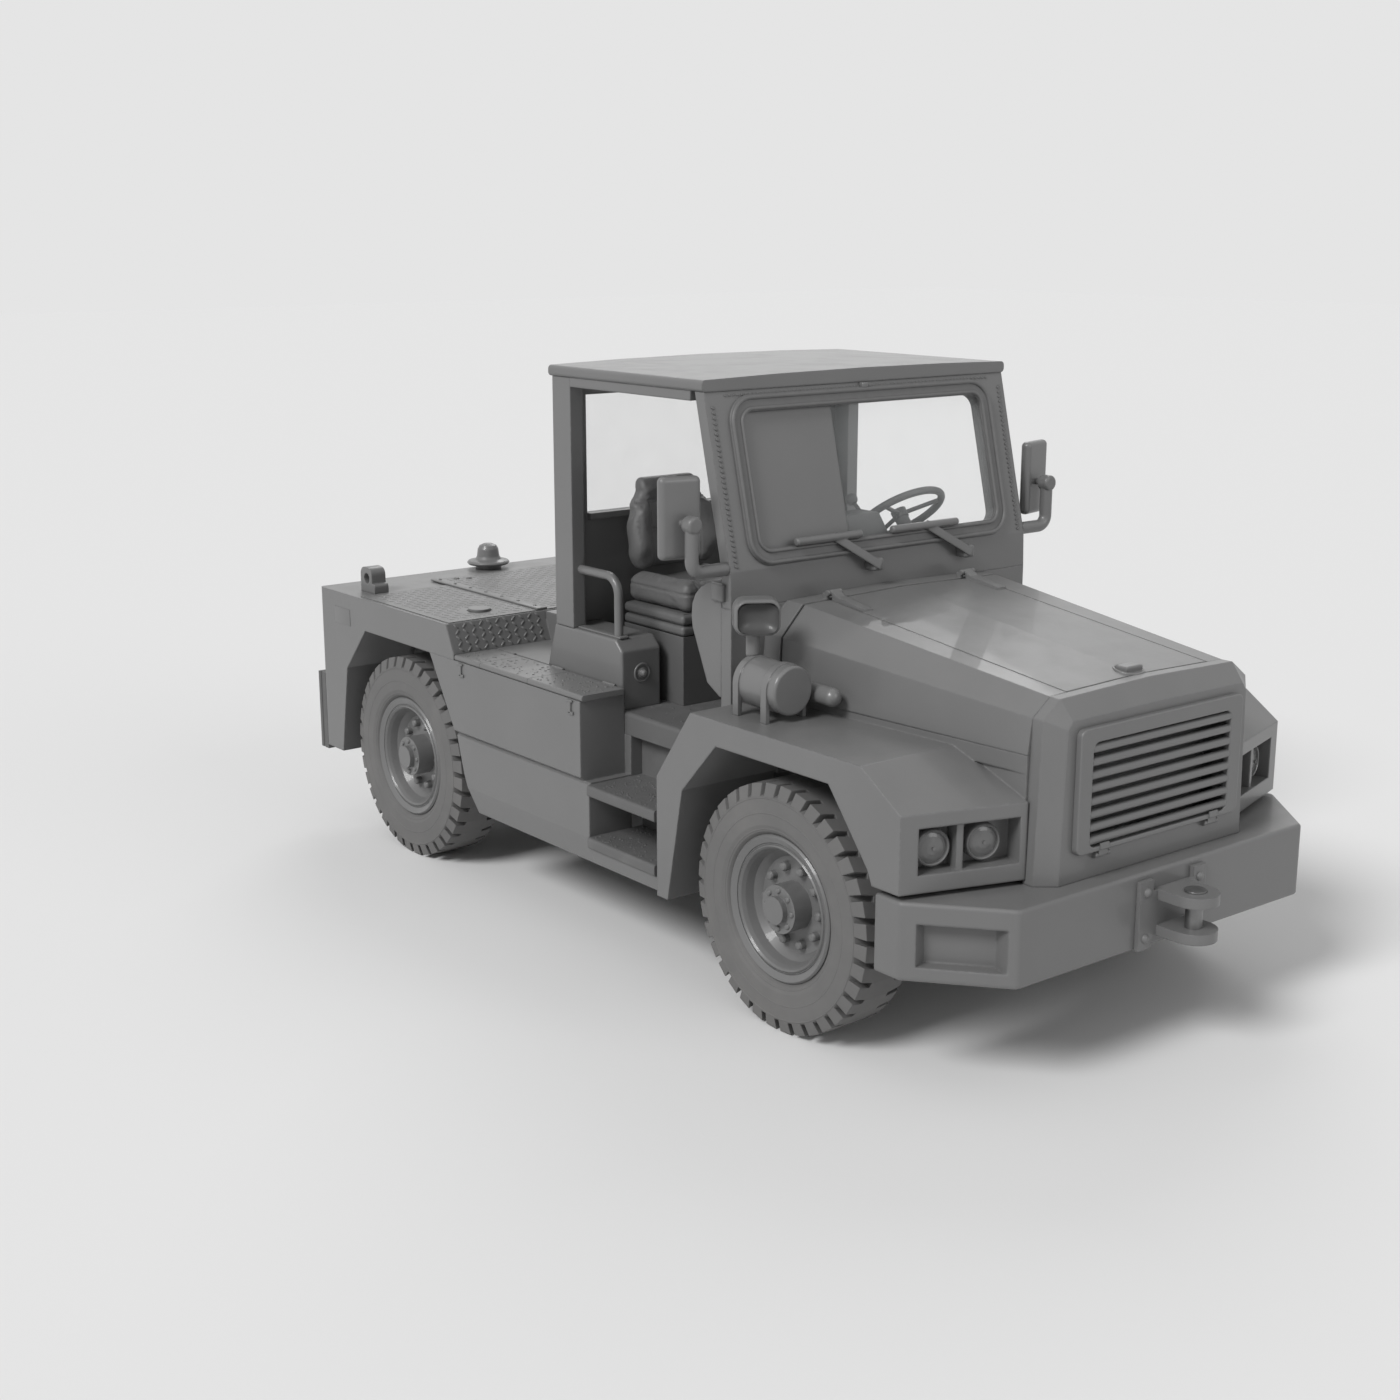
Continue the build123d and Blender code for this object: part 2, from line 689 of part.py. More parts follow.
def leaf_springs():
    """Four leaf packs, each on its axle seat and up to a bracket under the frame rail."""
    packs = []
    for x in (FRONT_AXLE_X, REAR_AXLE_X):
        base = SPRING_BASE_Z
        end = SPRING_HALF - 60
        profile = [
            (x - 90, base), (x + 90, base),
            (x + end, base + 18), (x + SPRING_HALF, base + 34),
            (x + SPRING_HALF, RAIL_BASE_Z), (x + end, RAIL_BASE_Z),
            (x + end, base + 46), (x + 150, base + SPRING_THICK - 20),
            (x + 90, base + SPRING_THICK), (x - 90, base + SPRING_THICK),
            (x - 150, base + SPRING_THICK - 20), (x - end, base + 46),
            (x - end, RAIL_BASE_Z), (x - SPRING_HALF, RAIL_BASE_Z),
            (x - SPRING_HALF, base + 34), (x - end, base + 18),
        ]
        for side in (-1, 1):
            low = side * SPRING_Y - SPRING_WIDTH / 2
            packs.append(across(profile, low, low + SPRING_WIDTH))
    return packs


def chassis_frame():
    """Two channel rails with cross members, open towards each other."""
    frame = None
    inside = RAIL_Y - RAIL_WIDTH / 2
    web = RAIL_SIDE_Y - RAIL_WALL
    for side in (-1, 1):
        rail = block((RAIL_REAR_X, RAIL_FRONT_X), sorted((side * inside, side * RAIL_SIDE_Y)),
                     (RAIL_BASE_Z, RAIL_TOP_Z))
        rail -= block((RAIL_REAR_X, RAIL_FRONT_X), sorted((side * inside, side * web)),
                      (RAIL_BASE_Z + RAIL_WALL, RAIL_TOP_Z - RAIL_WALL))
        frame = rail if frame is None else frame + rail
    for x in (RAIL_REAR_X, REAR_AXLE_X + 560, FENDER_REAR_X - 120, RAIL_FRONT_X - 60):
        frame += block((x, x + 60), (-web, web), (RAIL_BASE_Z + RAIL_WALL, RAIL_TOP_Z - RAIL_WALL))
    return frame


def engine_block():
    """Engine as one plain block with its four feet on the rails."""
    body = block((ENGINE_REAR_X, ENGINE_FRONT_X), (-ENGINE_HALF, ENGINE_HALF), (RAIL_BASE_Z, ENGINE_TOP_Z))
    web = RAIL_SIDE_Y - RAIL_WALL
    for x in (ENGINE_REAR_X + 80, ENGINE_FRONT_X - 160):
        body += block((x, x + 80), (-web, web), (RAIL_BASE_Z + 70, RAIL_TOP_Z - 70))
    return body


# Rear body, boxes and steps

REAR_ARCH = (
    (REAR_AXLE_X - 605, REAR_SKIRT_Z - 60),
    (REAR_AXLE_X - 605, 427),
    (REAR_AXLE_X - 525, 872),
    (REAR_AXLE_X - 317, ARCH_TOP_Z),
    (REAR_AXLE_X + 318, ARCH_TOP_Z),
    (REAR_AXLE_X + 517, 773),
    (REAR_AXLE_X + 587, 545),
    (REAR_AXLE_X + 677, SILL_FOOT_Z - 20),
)


def rear_body():
    """Decked rear body with a wheel arch on each side and a raised middle up to the cab."""
    outer = HALF_WIDTH
    tunnel = HALF_WIDTH - ARCH_DEPTH
    side_profile = [
        (REAR_FACE_X, REAR_SKIRT_Z), (REAR_ARCH[0][0], REAR_SKIRT_Z),
        *REAR_ARCH[1:5], (SLOPE_FOOT_X, ARCH_TOP_Z),
        (SLOPE_FOOT_X, LID_TOP_Z), (DECK_FRONT_X, DECK_Z), (REAR_FACE_X, DECK_Z),
    ]
    body = across(side_profile, tunnel, outer) + across(side_profile, -outer, -tunnel)
    middle = [
        (REAR_FACE_X, REAR_SKIRT_Z), (REAR_FACE_X + REAR_PLATE, REAR_SKIRT_Z),
        (REAR_FACE_X + REAR_PLATE, RAIL_TOP_Z), (SLOPE_FOOT_X, RAIL_TOP_Z),
        (SLOPE_FOOT_X, LID_TOP_Z), (DECK_FRONT_X, DECK_Z), (REAR_FACE_X, DECK_Z),
    ]
    body += across(middle, -tunnel, tunnel)
    body += block((SLOPE_FOOT_X - 40, POST_REAR_X), (-HUMP_HALF, HUMP_HALF), (RAIL_TOP_Z, DECK_Z))
    corners = body.edges().filter_by(Axis.Z).group_by(Axis.X)[0]
    body = fillet(corners, REAR_CORNER_RADIUS)
    pocket = block((REAR_FACE_X, REAR_FACE_X + REAR_PLATE), (-REAR_POCKET_HALF, REAR_POCKET_HALF),
                   (REAR_SKIRT_Z, JAW_TOP_Z + JAW_PIN_HEAD + JAW_PIN_LIFT + 2 * MOVE_GAP))
    return body - pocket


def side_box():
    """Left side box: locker over a tucked skirt, and the sill that runs on under the steps."""
    outer = HALF_WIDTH
    skirt_y = outer - GROOVE
    section = [
        (CAB_HALF, SILL_FOOT_Z), (outer - TUCK, SILL_FOOT_Z), (skirt_y, CREASE_Z),
        (skirt_y, SKIRT_TOP_Z - 10), (outer - 2 * GROOVE, SKIRT_TOP_Z),
        (outer, BOX_FOOT_Z), (outer, ARCH_TOP_Z), (CAB_HALF, ARCH_TOP_Z),
    ]
    box = along(section, REAR_ARCH[4][0], SKIRT_FRONT_X)
    box -= across([*REAR_ARCH[3:], (REAR_ARCH[3][0], SILL_FOOT_Z - 20)], 0, 2 * outer)
    box -= block((BOX_FRONT_X, SKIRT_FRONT_X), (0, 2 * outer), (SKIRT_TOP_Z, DECK_Z))
    sill = [
        (CAB_HALF, SILL_FOOT_Z), (outer - TUCK, SILL_FOOT_Z),
        (skirt_y, LOWER_STEP_Z - STEP_THICK), (CAB_HALF, LOWER_STEP_Z - STEP_THICK),
    ]
    box += along(sill, SKIRT_FRONT_X, FENDER_REAR_X)
    box += block((SLOPE_FOOT_X, POST_REAR_X), (HUMP_HALF, CAB_HALF), (BOX_INNER_Z, LID_TOP_Z))
    box += block((POST_REAR_X, SKIRT_FRONT_X), (RAIL_Y + RAIL_WIDTH / 2, CAB_HALF),
                 (BOX_INNER_Z, CAB_FLOOR_Z - CAB_FLOOR_THICK))
    box -= block((LOCKER_REAR_X, BOX_FRONT_X - PANEL), (LID_INNER_Y + PANEL, outer - 2 * GROOVE - PANEL),
                 (LOCKER_BASE_Z, DECK_Z))
    return box


def box_lid():
    """Left locker lid, hinged on its inner top edge, with a rolled outer edge."""
    base = ARCH_TOP_Z + SEAT_GAP
    lid = block((LID_REAR_X, LID_FRONT_X), (LID_INNER_Y + 4, HALF_WIDTH), (base, LID_TOP_Z))
    rolled = lid.edges().filter_by(Axis.X).group_by(Axis.Y)[-1]
    lid = fillet(rolled, LID_THICK * 0.42)
    for x in (LID_REAR_X + 120, (LID_REAR_X + LID_FRONT_X) / 2, LID_FRONT_X - 120):
        start = (x - 45, LID_INNER_Y, LID_TOP_Z)
        lid += rod(start, (x + 45, LID_INNER_Y, LID_TOP_Z), HINGE_RADIUS)
    return lid


def steps():
    """Left step well: back wall and two treads with a turned-down edge."""
    wall = block((SKIRT_FRONT_X, FENDER_REAR_X), (WELL_Y - PANEL, WELL_Y),
                 (LOWER_STEP_Z - STEP_THICK, CAB_FLOOR_Z - CAB_FLOOR_THICK))
    for top in (UPPER_STEP_Z, LOWER_STEP_Z):
        tread = block((SKIRT_FRONT_X, STEP_FRONT_X), (WELL_Y, HALF_WIDTH), (top - STEP_THICK, top))
        outer = tread.edges().filter_by(Axis.X).group_by(Axis.Y)[-1]
        wall += fillet(outer, STEP_EDGE)
    return wall


# Front end

FRONT_ARCH = (
    (FRONT_AXLE_X - 654, SILL_FOOT_Z - 20),
    (FRONT_AXLE_X - 556, 868),
    (FRONT_AXLE_X - 338, ARCH_TOP_Z),
    (FRONT_AXLE_X + 328, ARCH_TOP_Z),
    (FRONT_AXLE_X + 547, 825),
    (FRONT_AXLE_X + 572, NOSE_FOOT_Z),
)


def nose_point(reach, depth):
    """Plan point on the left lamp face: reach along it from its outer corner, depth behind it."""
    run = Vector(NOSE_INNER_X - NOSE_OUTER_X, FENDER_INNER_Y - HALF_WIDTH, 0).normalized()
    back = Vector(run.Y, -run.X, 0)
    point = Vector(NOSE_OUTER_X, HALF_WIDTH, 0) + run * reach + back * depth
    return (point.X, point.Y)


def lamp_pocket(start, end, depth):
    """Prism let into the left lamp face between two reaches."""
    plan = [nose_point(start, -5), nose_point(end, -5), nose_point(end, depth), nose_point(start, depth)]
    return upward(plan, LAMP_POCKET_BASE_Z, LAMP_POCKET_TOP_Z)


def fender():
    """Left front fender: arch, sloping nose with its lamp pocket, and the engine bay ledge."""
    sections = []
    for y, nose_x in ((FENDER_INNER_Y, NOSE_INNER_X), (HALF_WIDTH, NOSE_OUTER_X)):
        profile = [
            (FENDER_REAR_X, SILL_FOOT_Z), (FENDER_REAR_X, FENDER_BEND_Z), (FENDER_SLOPE_X, FENDER_TOP_Z),
            (RIDGE_X, FENDER_TOP_Z), (nose_x, NOSE_TOP_Z), (nose_x, NOSE_FOOT_Z),
            *reversed(FRONT_ARCH[1:]), (FRONT_ARCH[0][0], SILL_FOOT_Z),
        ]
        sections.append(make_face(Polyline([(x, y, z) for x, z in profile], close=True)))
    body = loft(sections, ruled=True)
    body -= block((0, SCREEN_FOOT_X), (0, CAB_HALF), (CAB_FLOOR_Z - CAB_FLOOR_THICK, SCREEN_FOOT_Z))
    ledge = [
        (HOOD_FRONT_X, FENDER_INNER_Y), (HOOD_FRONT_X, FENDER_INNER_Y - BAY_WALL),
        (SCREEN_FOOT_X, HOOD_REAR_HALF - BAY_WALL), (SCREEN_FOOT_X, HOOD_REAR_HALF),
    ]
    body += upward(ledge, FENDER_TOP_Z - 40, HOOD_FOOT_Z)
    wall = [*FRONT_ARCH[2:], (HOOD_FRONT_X, NOSE_FOOT_Z), (HOOD_FRONT_X, HOOD_FOOT_Z),
            (FRONT_ARCH[2][0], HOOD_FOOT_Z)]
    body += across(wall, FENDER_INNER_Y - BAY_WALL, FENDER_INNER_Y)
    first, last = LAMP_POCKET_REACH
    body -= lamp_pocket(first, LAMP_RIB_REACH, LAMP_POCKET_DEPTH)
    body -= lamp_pocket(LAMP_RIB_REACH + LAMP_RIB, last, LAMP_POCKET_DEPTH)
    body -= lamp_pocket(first, last, LAMP_RIB_SETBACK)
    return body


def headlamps():
    """Two domed lamps in the left lamp pocket."""
    lamps = []
    z = (LAMP_POCKET_BASE_Z + LAMP_POCKET_TOP_Z) / 2 - 5
    for reach in LAMP_REACHES:
        back = nose_point(reach, LAMP_POCKET_DEPTH)
        rim_point = nose_point(reach, LAMP_POCKET_DEPTH - LAMP_BODY)
        glass = LAMP_RADIUS - LAMP_BEZEL
        face = LAMP_BODY
        lamps.append(turned((*back, z), (*rim_point, z), (
            (0, 0), (0, LAMP_RADIUS), (face, LAMP_RADIUS), (face + LAMP_BEZEL * 0.7, LAMP_RADIUS - 3),
            (face + LAMP_BEZEL, LAMP_RADIUS - 8), (face + LAMP_BEZEL * 0.7, glass), (face, glass - 2),
            (face + LAMP_DOME * 0.5, glass * 0.72), (face + LAMP_DOME * 0.86, glass * 0.4),
            (face + LAMP_DOME, LAMP_NUB), (face + LAMP_DOME + LAMP_NUB, LAMP_NUB),
            (face + LAMP_DOME + LAMP_NUB, 0))))
    return lamps


def front_bumper():
    """Bumper with chamfered corners, open below, and a pocket in each corner face."""
    plan = [
        (BUMPER_REAR_X, HALF_WIDTH), (BUMPER_SIDE_X, HALF_WIDTH),
        (BUMPER_FRONT_X, BUMPER_FACE_HALF), (BUMPER_FRONT_X, -BUMPER_FACE_HALF),
        (BUMPER_SIDE_X, -HALF_WIDTH), (BUMPER_REAR_X, -HALF_WIDTH),
    ]
    bumper = upward(plan, BUMPER_BASE_Z, BUMPER_TOP_Z)
    corners = bumper.edges().filter_by(Axis.Z).filter_by(lambda e: e.center().X > BUMPER_REAR_X + 1)
    bumper = fillet(corners, 2 * BUMPER_EDGE)
    rim_edges = bumper.edges().filter_by(Plane.XY)
    bumper = fillet(rim_edges.filter_by(lambda e: e.center().X > BUMPER_REAR_X + 1), BUMPER_EDGE)
    side_inner = HALF_WIDTH - BUMPER_WALL
    front_inner = BUMPER_FRONT_X - BUMPER_WALL
    corner = BUMPER_WALL * 0.42
    inner = [
        (BUMPER_REAR_X - 1, side_inner), (BUMPER_SIDE_X - corner, side_inner),
        (front_inner, BUMPER_FACE_HALF - corner), (front_inner, corner - BUMPER_FACE_HALF),
        (BUMPER_SIDE_X - corner, -side_inner), (BUMPER_REAR_X - 1, -side_inner),
    ]
    bumper -= upward(inner, BUMPER_BASE_Z - 1, BUMPER_TOP_Z - BUMPER_TOP_PLATE)
    run = Vector(BUMPER_FRONT_X - BUMPER_SIDE_X, BUMPER_FACE_HALF - HALF_WIDTH, 0)
    for side in (-1, 1):
        pocket_plan = []
        for share, depth in ((0.14, -5), (0.92, -5), (0.8, BUMPER_POCKET), (0.2, BUMPER_POCKET)):
            back = Vector(run.Y, -run.X, 0).normalized() * depth
            point = Vector(BUMPER_SIDE_X, HALF_WIDTH, 0) + run * share + back
            pocket_plan.append((point.X, side * point.Y))
        bumper -= upward(pocket_plan, BUMPER_POCKET_BASE_Z, BUMPER_POCKET_TOP_Z)
    return bumper - block((BUMPER_REAR_X - 1, RAIL_FRONT_X), (-RAIL_SIDE_Y, RAIL_SIDE_Y),
                          (RAIL_BASE_Z, BUMPER_TOP_Z + 1))


def jaw(face_x, pin_x, foot_thick):
    """Tow jaw on a face: two foot plates and two rounded plates; forward if the pin is ahead."""
    out = 1 if pin_x > face_x else -1
    back = face_x + out * foot_thick
    body = None
    for side in (-1, 1):
        foot = block(sorted((face_x, back)),
                     (side * JAW_FOOT_Y - JAW_FOOT_WIDTH / 2, side * JAW_FOOT_Y + JAW_FOOT_WIDTH / 2),
                     (BUMPER_BASE_Z, BUMPER_TOP_Z - 2 * BUMPER_EDGE))
        body = foot if body is None else body + foot
    inner = JAW_FOOT_Y - JAW_FOOT_WIDTH / 2
    base = JAW_TOP_Z - 2 * JAW_PLATE - JAW_GAP
    body += block(sorted((face_x, back)), (-inner, inner), (base, JAW_TOP_Z))
    for y in (-JAW_FOOT_Y, JAW_FOOT_Y):
        for z in (BUMPER_BASE_Z + JAW_BOLT_INSET, BUMPER_TOP_Z - 2 * BUMPER_EDGE - JAW_BOLT_INSET):
            body += domed((face_x, y, z), (back + out * 4, y, z), JAW_BOLT_RADIUS, JAW_BOLT_RADIUS * 0.6)
    for low in (base, JAW_TOP_Z - JAW_PLATE):
        high = low + JAW_PLATE
        body += block(sorted((face_x, pin_x)), (-JAW_HALF, JAW_HALF), (low, high))
        body += rod((pin_x, 0, low), (pin_x, 0, high), JAW_HALF)
        body -= rod((pin_x, 0, low - 1), (pin_x, 0, high + 1), JAW_PIN_RADIUS + SEAT_GAP)
    return body


def jaw_pin(pin_x):
    """Tow pin with its head resting on the jaw's top plate."""
    base = JAW_TOP_Z - 2 * JAW_PLATE - JAW_GAP
    pin = rod((pin_x, 0, base), (pin_x, 0, JAW_TOP_Z), JAW_PIN_RADIUS)
    return pin + rod((pin_x, 0, JAW_TOP_Z), (pin_x, 0, JAW_TOP_Z + JAW_PIN_HEAD), JAW_PIN_RADIUS + 9)


def hood_section(rear, shrink):
    """Hood outline of (y, z) points at its rear or front, moved inwards by shrink."""
    if rear:
        foot, side, top = HOOD_REAR_HALF, HOOD_REAR_SIDE, HOOD_REAR_TOP
    else:
        foot, side, top = FENDER_INNER_Y, HOOD_FRONT_SIDE, HOOD_FRONT_TOP
    half = [
        (foot - shrink, HOOD_FOOT_Z),
        (side[0] - shrink, side[1] - shrink * 0.4),
        (top[0] - shrink * 0.5, top[1] - shrink),
        (0, top[1] + HOOD_CROWN - shrink),
    ]
    return half + [(-y, z) for y, z in reversed(half[:-1])]


def hood_form(shrink, rear_x, front_x):
    """Hood body between two stations, either the outer form or one set in by shrink."""
    return section_loft(hood_section(False, shrink), front_x, hood_section(True, shrink), rear_x)


def hood_lid_plan(margin):
    return [
        (HOOD_REAR_X, LID_HALF_REAR - margin), (HOOD_FRONT_X, LID_HALF_FRONT - margin),
        (HOOD_FRONT_X, margin - LID_HALF_FRONT), (HOOD_REAR_X, margin - LID_HALF_REAR),
    ]


def hood_top_z(x, y):
    """Height of the hood's crowned top at a place."""
    share = (x - HOOD_REAR_X) / (HOOD_FRONT_X - HOOD_REAR_X)
    edge_y = HOOD_REAR_TOP[0] + (HOOD_FRONT_TOP[0] - HOOD_REAR_TOP[0]) * share
    edge_z = HOOD_REAR_TOP[1] + (HOOD_FRONT_TOP[1] - HOOD_REAR_TOP[1]) * share
    return edge_z + HOOD_CROWN * (1 - abs(y) / edge_y)


def hood_sides():
    """Fixed hood sides with their chamfers, open between them for the lid."""
    rear_x = HOOD_REAR_X + COWL_SEAM
    shell = hood_form(0, HOOD_REAR_X, HOOD_FRONT_X) - hood_form(HOOD_WALL, HOOD_REAR_X, HOOD_FRONT_X)
    shell -= upward(hood_lid_plan(0), HOOD_FOOT_Z - 20, ROOF_BASE_Z)
    seam = block((HOOD_REAR_X - 1, rear_x), (-HALF_WIDTH, HALF_WIDTH), (HOOD_FOOT_Z + 30, ROOF_BASE_Z))
    return shell - seam


def hood_lid():
    """Hood lid with two strap hinges at the cowl."""
    shell = hood_form(0, HOOD_REAR_X, HOOD_FRONT_X) - hood_form(HOOD_WALL, HOOD_REAR_X, HOOD_FRONT_X)
    lid = shell & upward(hood_lid_plan(HOOD_SEAM), HOOD_FOOT_Z - 20, ROOF_BASE_Z)
    rear_seam = (HOOD_REAR_X - 1, HOOD_REAR_X + COWL_SEAM)
    front_seam = (HOOD_FRONT_X - HOOD_SEAM, HOOD_FRONT_X + 1)
    for x_span in (rear_seam, front_seam):
        lid -= block(x_span, (-HALF_WIDTH, HALF_WIDTH), (HOOD_FOOT_Z, ROOF_BASE_Z))
    for side in (-1, 1):
        lid += hinge_strap(side * HINGE_Y)
    latch_z = hood_top_z(HOOD_LATCH_X, 0)
    latch = block((HOOD_LATCH_X - HOOD_LATCH[0], HOOD_LATCH_X + HOOD_LATCH[0]), (-HOOD_LATCH[1], HOOD_LATCH[1]),
                  (latch_z - HOOD_WALL / 2, latch_z + HOOD_LATCH[2]))
    return lid + fillet(latch.edges().group_by(Axis.Z)[-1], HOOD_LATCH[2] * 0.4)


def hinge_strap(y):
    """Hinge strap lying on the hood lid, with the eye that turns on the cowl's pin."""
    end_x = HINGE_X + STRAP_LENGTH
    start_x = HOOD_REAR_X + COWL_SEAM + 4
    profile = [
        (HINGE_X, HINGE_Z + HINGE_EYE), (start_x + 30, hood_top_z(start_x + 30, y) + 2 * STRAP_PROUD),
        (end_x, hood_top_z(end_x, y) + STRAP_PROUD), (end_x, hood_top_z(end_x, y) - 4),
        (start_x, hood_top_z(start_x, y) - 4), (HINGE_X + HINGE_EYE, HINGE_Z), (HINGE_X, HINGE_Z),
    ]
    strap = across(profile, y - HINGE_HALF, y + HINGE_HALF)
    strap += rod((HINGE_X, y - HINGE_HALF, HINGE_Z), (HINGE_X, y + HINGE_HALF, HINGE_Z), HINGE_EYE)
    return strap - rod((HINGE_X, y - HALF_WIDTH, HINGE_Z), (HINGE_X, y + HALF_WIDTH, HINGE_Z),
                       HINGE_PIN + SEAT_GAP)


def hinge_ears(y):
    """Two ears on the cowl with the pin between them for a hood hinge."""
    pair = rod((HINGE_X, y - HINGE_HALF - HINGE_EAR, HINGE_Z), (HINGE_X, y + HINGE_HALF + HINGE_EAR, HINGE_Z),
               HINGE_PIN)
    for low in (y - HINGE_HALF - HINGE_EAR, y + HINGE_HALF + SEAT_GAP):
        high = low + HINGE_EAR - SEAT_GAP
        foot_z = hood_top_z(HOOD_REAR_X, y) - HOOD_WALL / 2
        pair += rod((HINGE_X, low, HINGE_Z), (HINGE_X, high, HINGE_Z), HINGE_EYE)
        pair += block((HINGE_X - 2 * HINGE_EYE, HOOD_REAR_X), (low, high), (foot_z, HINGE_Z))
    return pair


def cowl():
    """Cowl between the hood and the windscreen, with the ears of the hood hinges."""
    body = section_loft(hood_section(True, 0), HOOD_REAR_X, hood_section(True, 0), SCREEN_FOOT_X)
    body -= section_loft(hood_section(True, HOOD_WALL), HOOD_REAR_X + 1,
                         hood_section(True, HOOD_WALL), SCREEN_FOOT_X - 1)
    for side in (-1, 1):
        body += hinge_ears(side * HINGE_Y)
    return body


def firewall():
    """Upright front wall of the cab, from the floor up to the windscreen panel."""
    wall = block((FIREWALL_X, SCREEN_FOOT_X), (-CAB_HALF, CAB_HALF), (CAB_FLOOR_Z, SCREEN_FOOT_Z))
    wall += block((FIREWALL_X, SCREEN_FOOT_X), (-FENDER_INNER_Y, FENDER_INNER_Y),
                  (RAIL_TOP_Z, CAB_FLOOR_Z))
    return wall


def radiator_shell():
    """Radiator shell: a bevelled frame in front of the hood, open for the grille."""
    back = [(y, z) for y, z in hood_section(False, 0)]
    back[0] = (FENDER_INNER_Y, SHELL_BASE_Z)
    back[-1] = (-FENDER_INNER_Y, SHELL_BASE_Z)
    body = section_loft(back, SHELL_BEVEL_X, back, HOOD_FRONT_X)
    face = [(SHELL_FACE_FOOT, SHELL_BASE_Z), (SHELL_FACE_FOOT - 18, SHELL_FACE_TOP_Z - 30),
            (SHELL_FACE_FOOT - 40, SHELL_FACE_TOP_Z), (0, SHELL_FACE_TOP_Z + 6),
            (40 - SHELL_FACE_FOOT, SHELL_FACE_TOP_Z), (18 - SHELL_FACE_FOOT, SHELL_FACE_TOP_Z - 30),
            (-SHELL_FACE_FOOT, SHELL_BASE_Z)]
    body += section_loft(face, SHELL_FACE_X, back, SHELL_BEVEL_X)
    lip = BAY_WALL
    window = block((SHELL_BEVEL_X - 20, SHELL_FACE_X + 1), (-GRILLE_OPEN_HALF - lip, GRILLE_OPEN_HALF + lip),
                   (GRILLE_OPEN_BASE_Z, GRILLE_OPEN_TOP_Z + lip))
    core_half = RAIL_SIDE_Y + SEAT_GAP
    core_room = block((HOOD_FRONT_X - 1, SHELL_BEVEL_X), (-core_half, core_half),
                      (SHELL_BASE_Z - 1, GRILLE_TOP_Z + 10))
    body -= window + core_room
    for side in (-1, 1):
        body += grille_ears(side * GRILLE_HINGE_Y)
    return body


def radiator_core():
    """Radiator as a plain block on the frame rails behind the grille."""
    return block((HOOD_FRONT_X - 90, HOOD_FRONT_X - 10), (-CORE_HALF, CORE_HALF),
                 (RAIL_TOP_Z, GRILLE_TOP_Z - 10))


def grille():
    """Grille door: a rounded frame with round bars, on two strap hinges at its foot."""
    back = SHELL_FACE_X + SEAT_GAP
    front = back + GRILLE_THICK
    frame = block((back, front), (-GRILLE_HALF, GRILLE_HALF), (GRILLE_BASE_Z, GRILLE_TOP_Z))
    frame = fillet(frame.edges().filter_by(Axis.X), GRILLE_CORNER)
    low, high = GRILLE_OPEN_BASE_Z, GRILLE_OPEN_TOP_Z
    opening = block((back - 1, front + 1), (-GRILLE_OPEN_HALF, GRILLE_OPEN_HALF), (low, high))
    frame -= fillet(opening.edges().filter_by(Axis.X), GRILLE_CORNER)
    rim_edges = frame.edges().filter_by(lambda e: e.center().X > front - 0.001)
    frame = fillet(rim_edges, GRILLE_EDGE)
    pitch = (high - low) / GRILLE_BARS
    for index in range(GRILLE_BARS):
        z = low + pitch * (index + 0.5)
        frame += rod((front - GRILLE_BAR_RADIUS, -GRILLE_OPEN_HALF - 2, z),
                     (front - GRILLE_BAR_RADIUS, GRILLE_OPEN_HALF + 2, z), GRILLE_BAR_RADIUS)
    for side in (-1, 1):
        y = side * GRILLE_HINGE_Y
        strap = block((GRILLE_PIN_X - GRILLE_EYE, GRILLE_PIN_X + GRILLE_EYE),
                      (y - GRILLE_EYE_HALF, y + GRILLE_EYE_HALF), (GRILLE_PIN_Z, GRILLE_BASE_Z + 2))
        strap += block((front - 1, front + GRILLE_STRAP), (y - GRILLE_EYE_HALF, y + GRILLE_EYE_HALF),
                       (GRILLE_BASE_Z + GRILLE_EDGE, GRILLE_OPEN_BASE_Z + GRILLE_EYE))
        strap += rod((GRILLE_PIN_X, y - GRILLE_EYE_HALF, GRILLE_PIN_Z),
                     (GRILLE_PIN_X, y + GRILLE_EYE_HALF, GRILLE_PIN_Z), GRILLE_EYE)
        frame += strap
        frame -= rod((GRILLE_PIN_X, y - 2 * GRILLE_EYE_HALF, GRILLE_PIN_Z),
                     (GRILLE_PIN_X, y + 2 * GRILLE_EYE_HALF, GRILLE_PIN_Z), GRILLE_PIN_RADIUS + SEAT_GAP)
    return frame


def grille_ears(y):
    """Two ears low on the radiator shell with the pin between them for a grille hinge."""
    reach = GRILLE_EYE_HALF + SEAT_GAP + GRILLE_EAR
    pair = rod((GRILLE_PIN_X, y - reach, GRILLE_PIN_Z), (GRILLE_PIN_X, y + reach, GRILLE_PIN_Z),
               GRILLE_PIN_RADIUS)
    for low in (y - reach, y + reach - GRILLE_EAR):
        pair += rod((GRILLE_PIN_X, low, GRILLE_PIN_Z), (GRILLE_PIN_X, low + GRILLE_EAR, GRILLE_PIN_Z), GRILLE_EYE)
        pair += block((SHELL_FACE_X - GRILLE_EYE, GRILLE_PIN_X), (low, low + GRILLE_EAR),
                      (GRILLE_PIN_Z - GRILLE_EYE, GRILLE_PIN_Z + GRILLE_EYE))
    return pair


# Cab


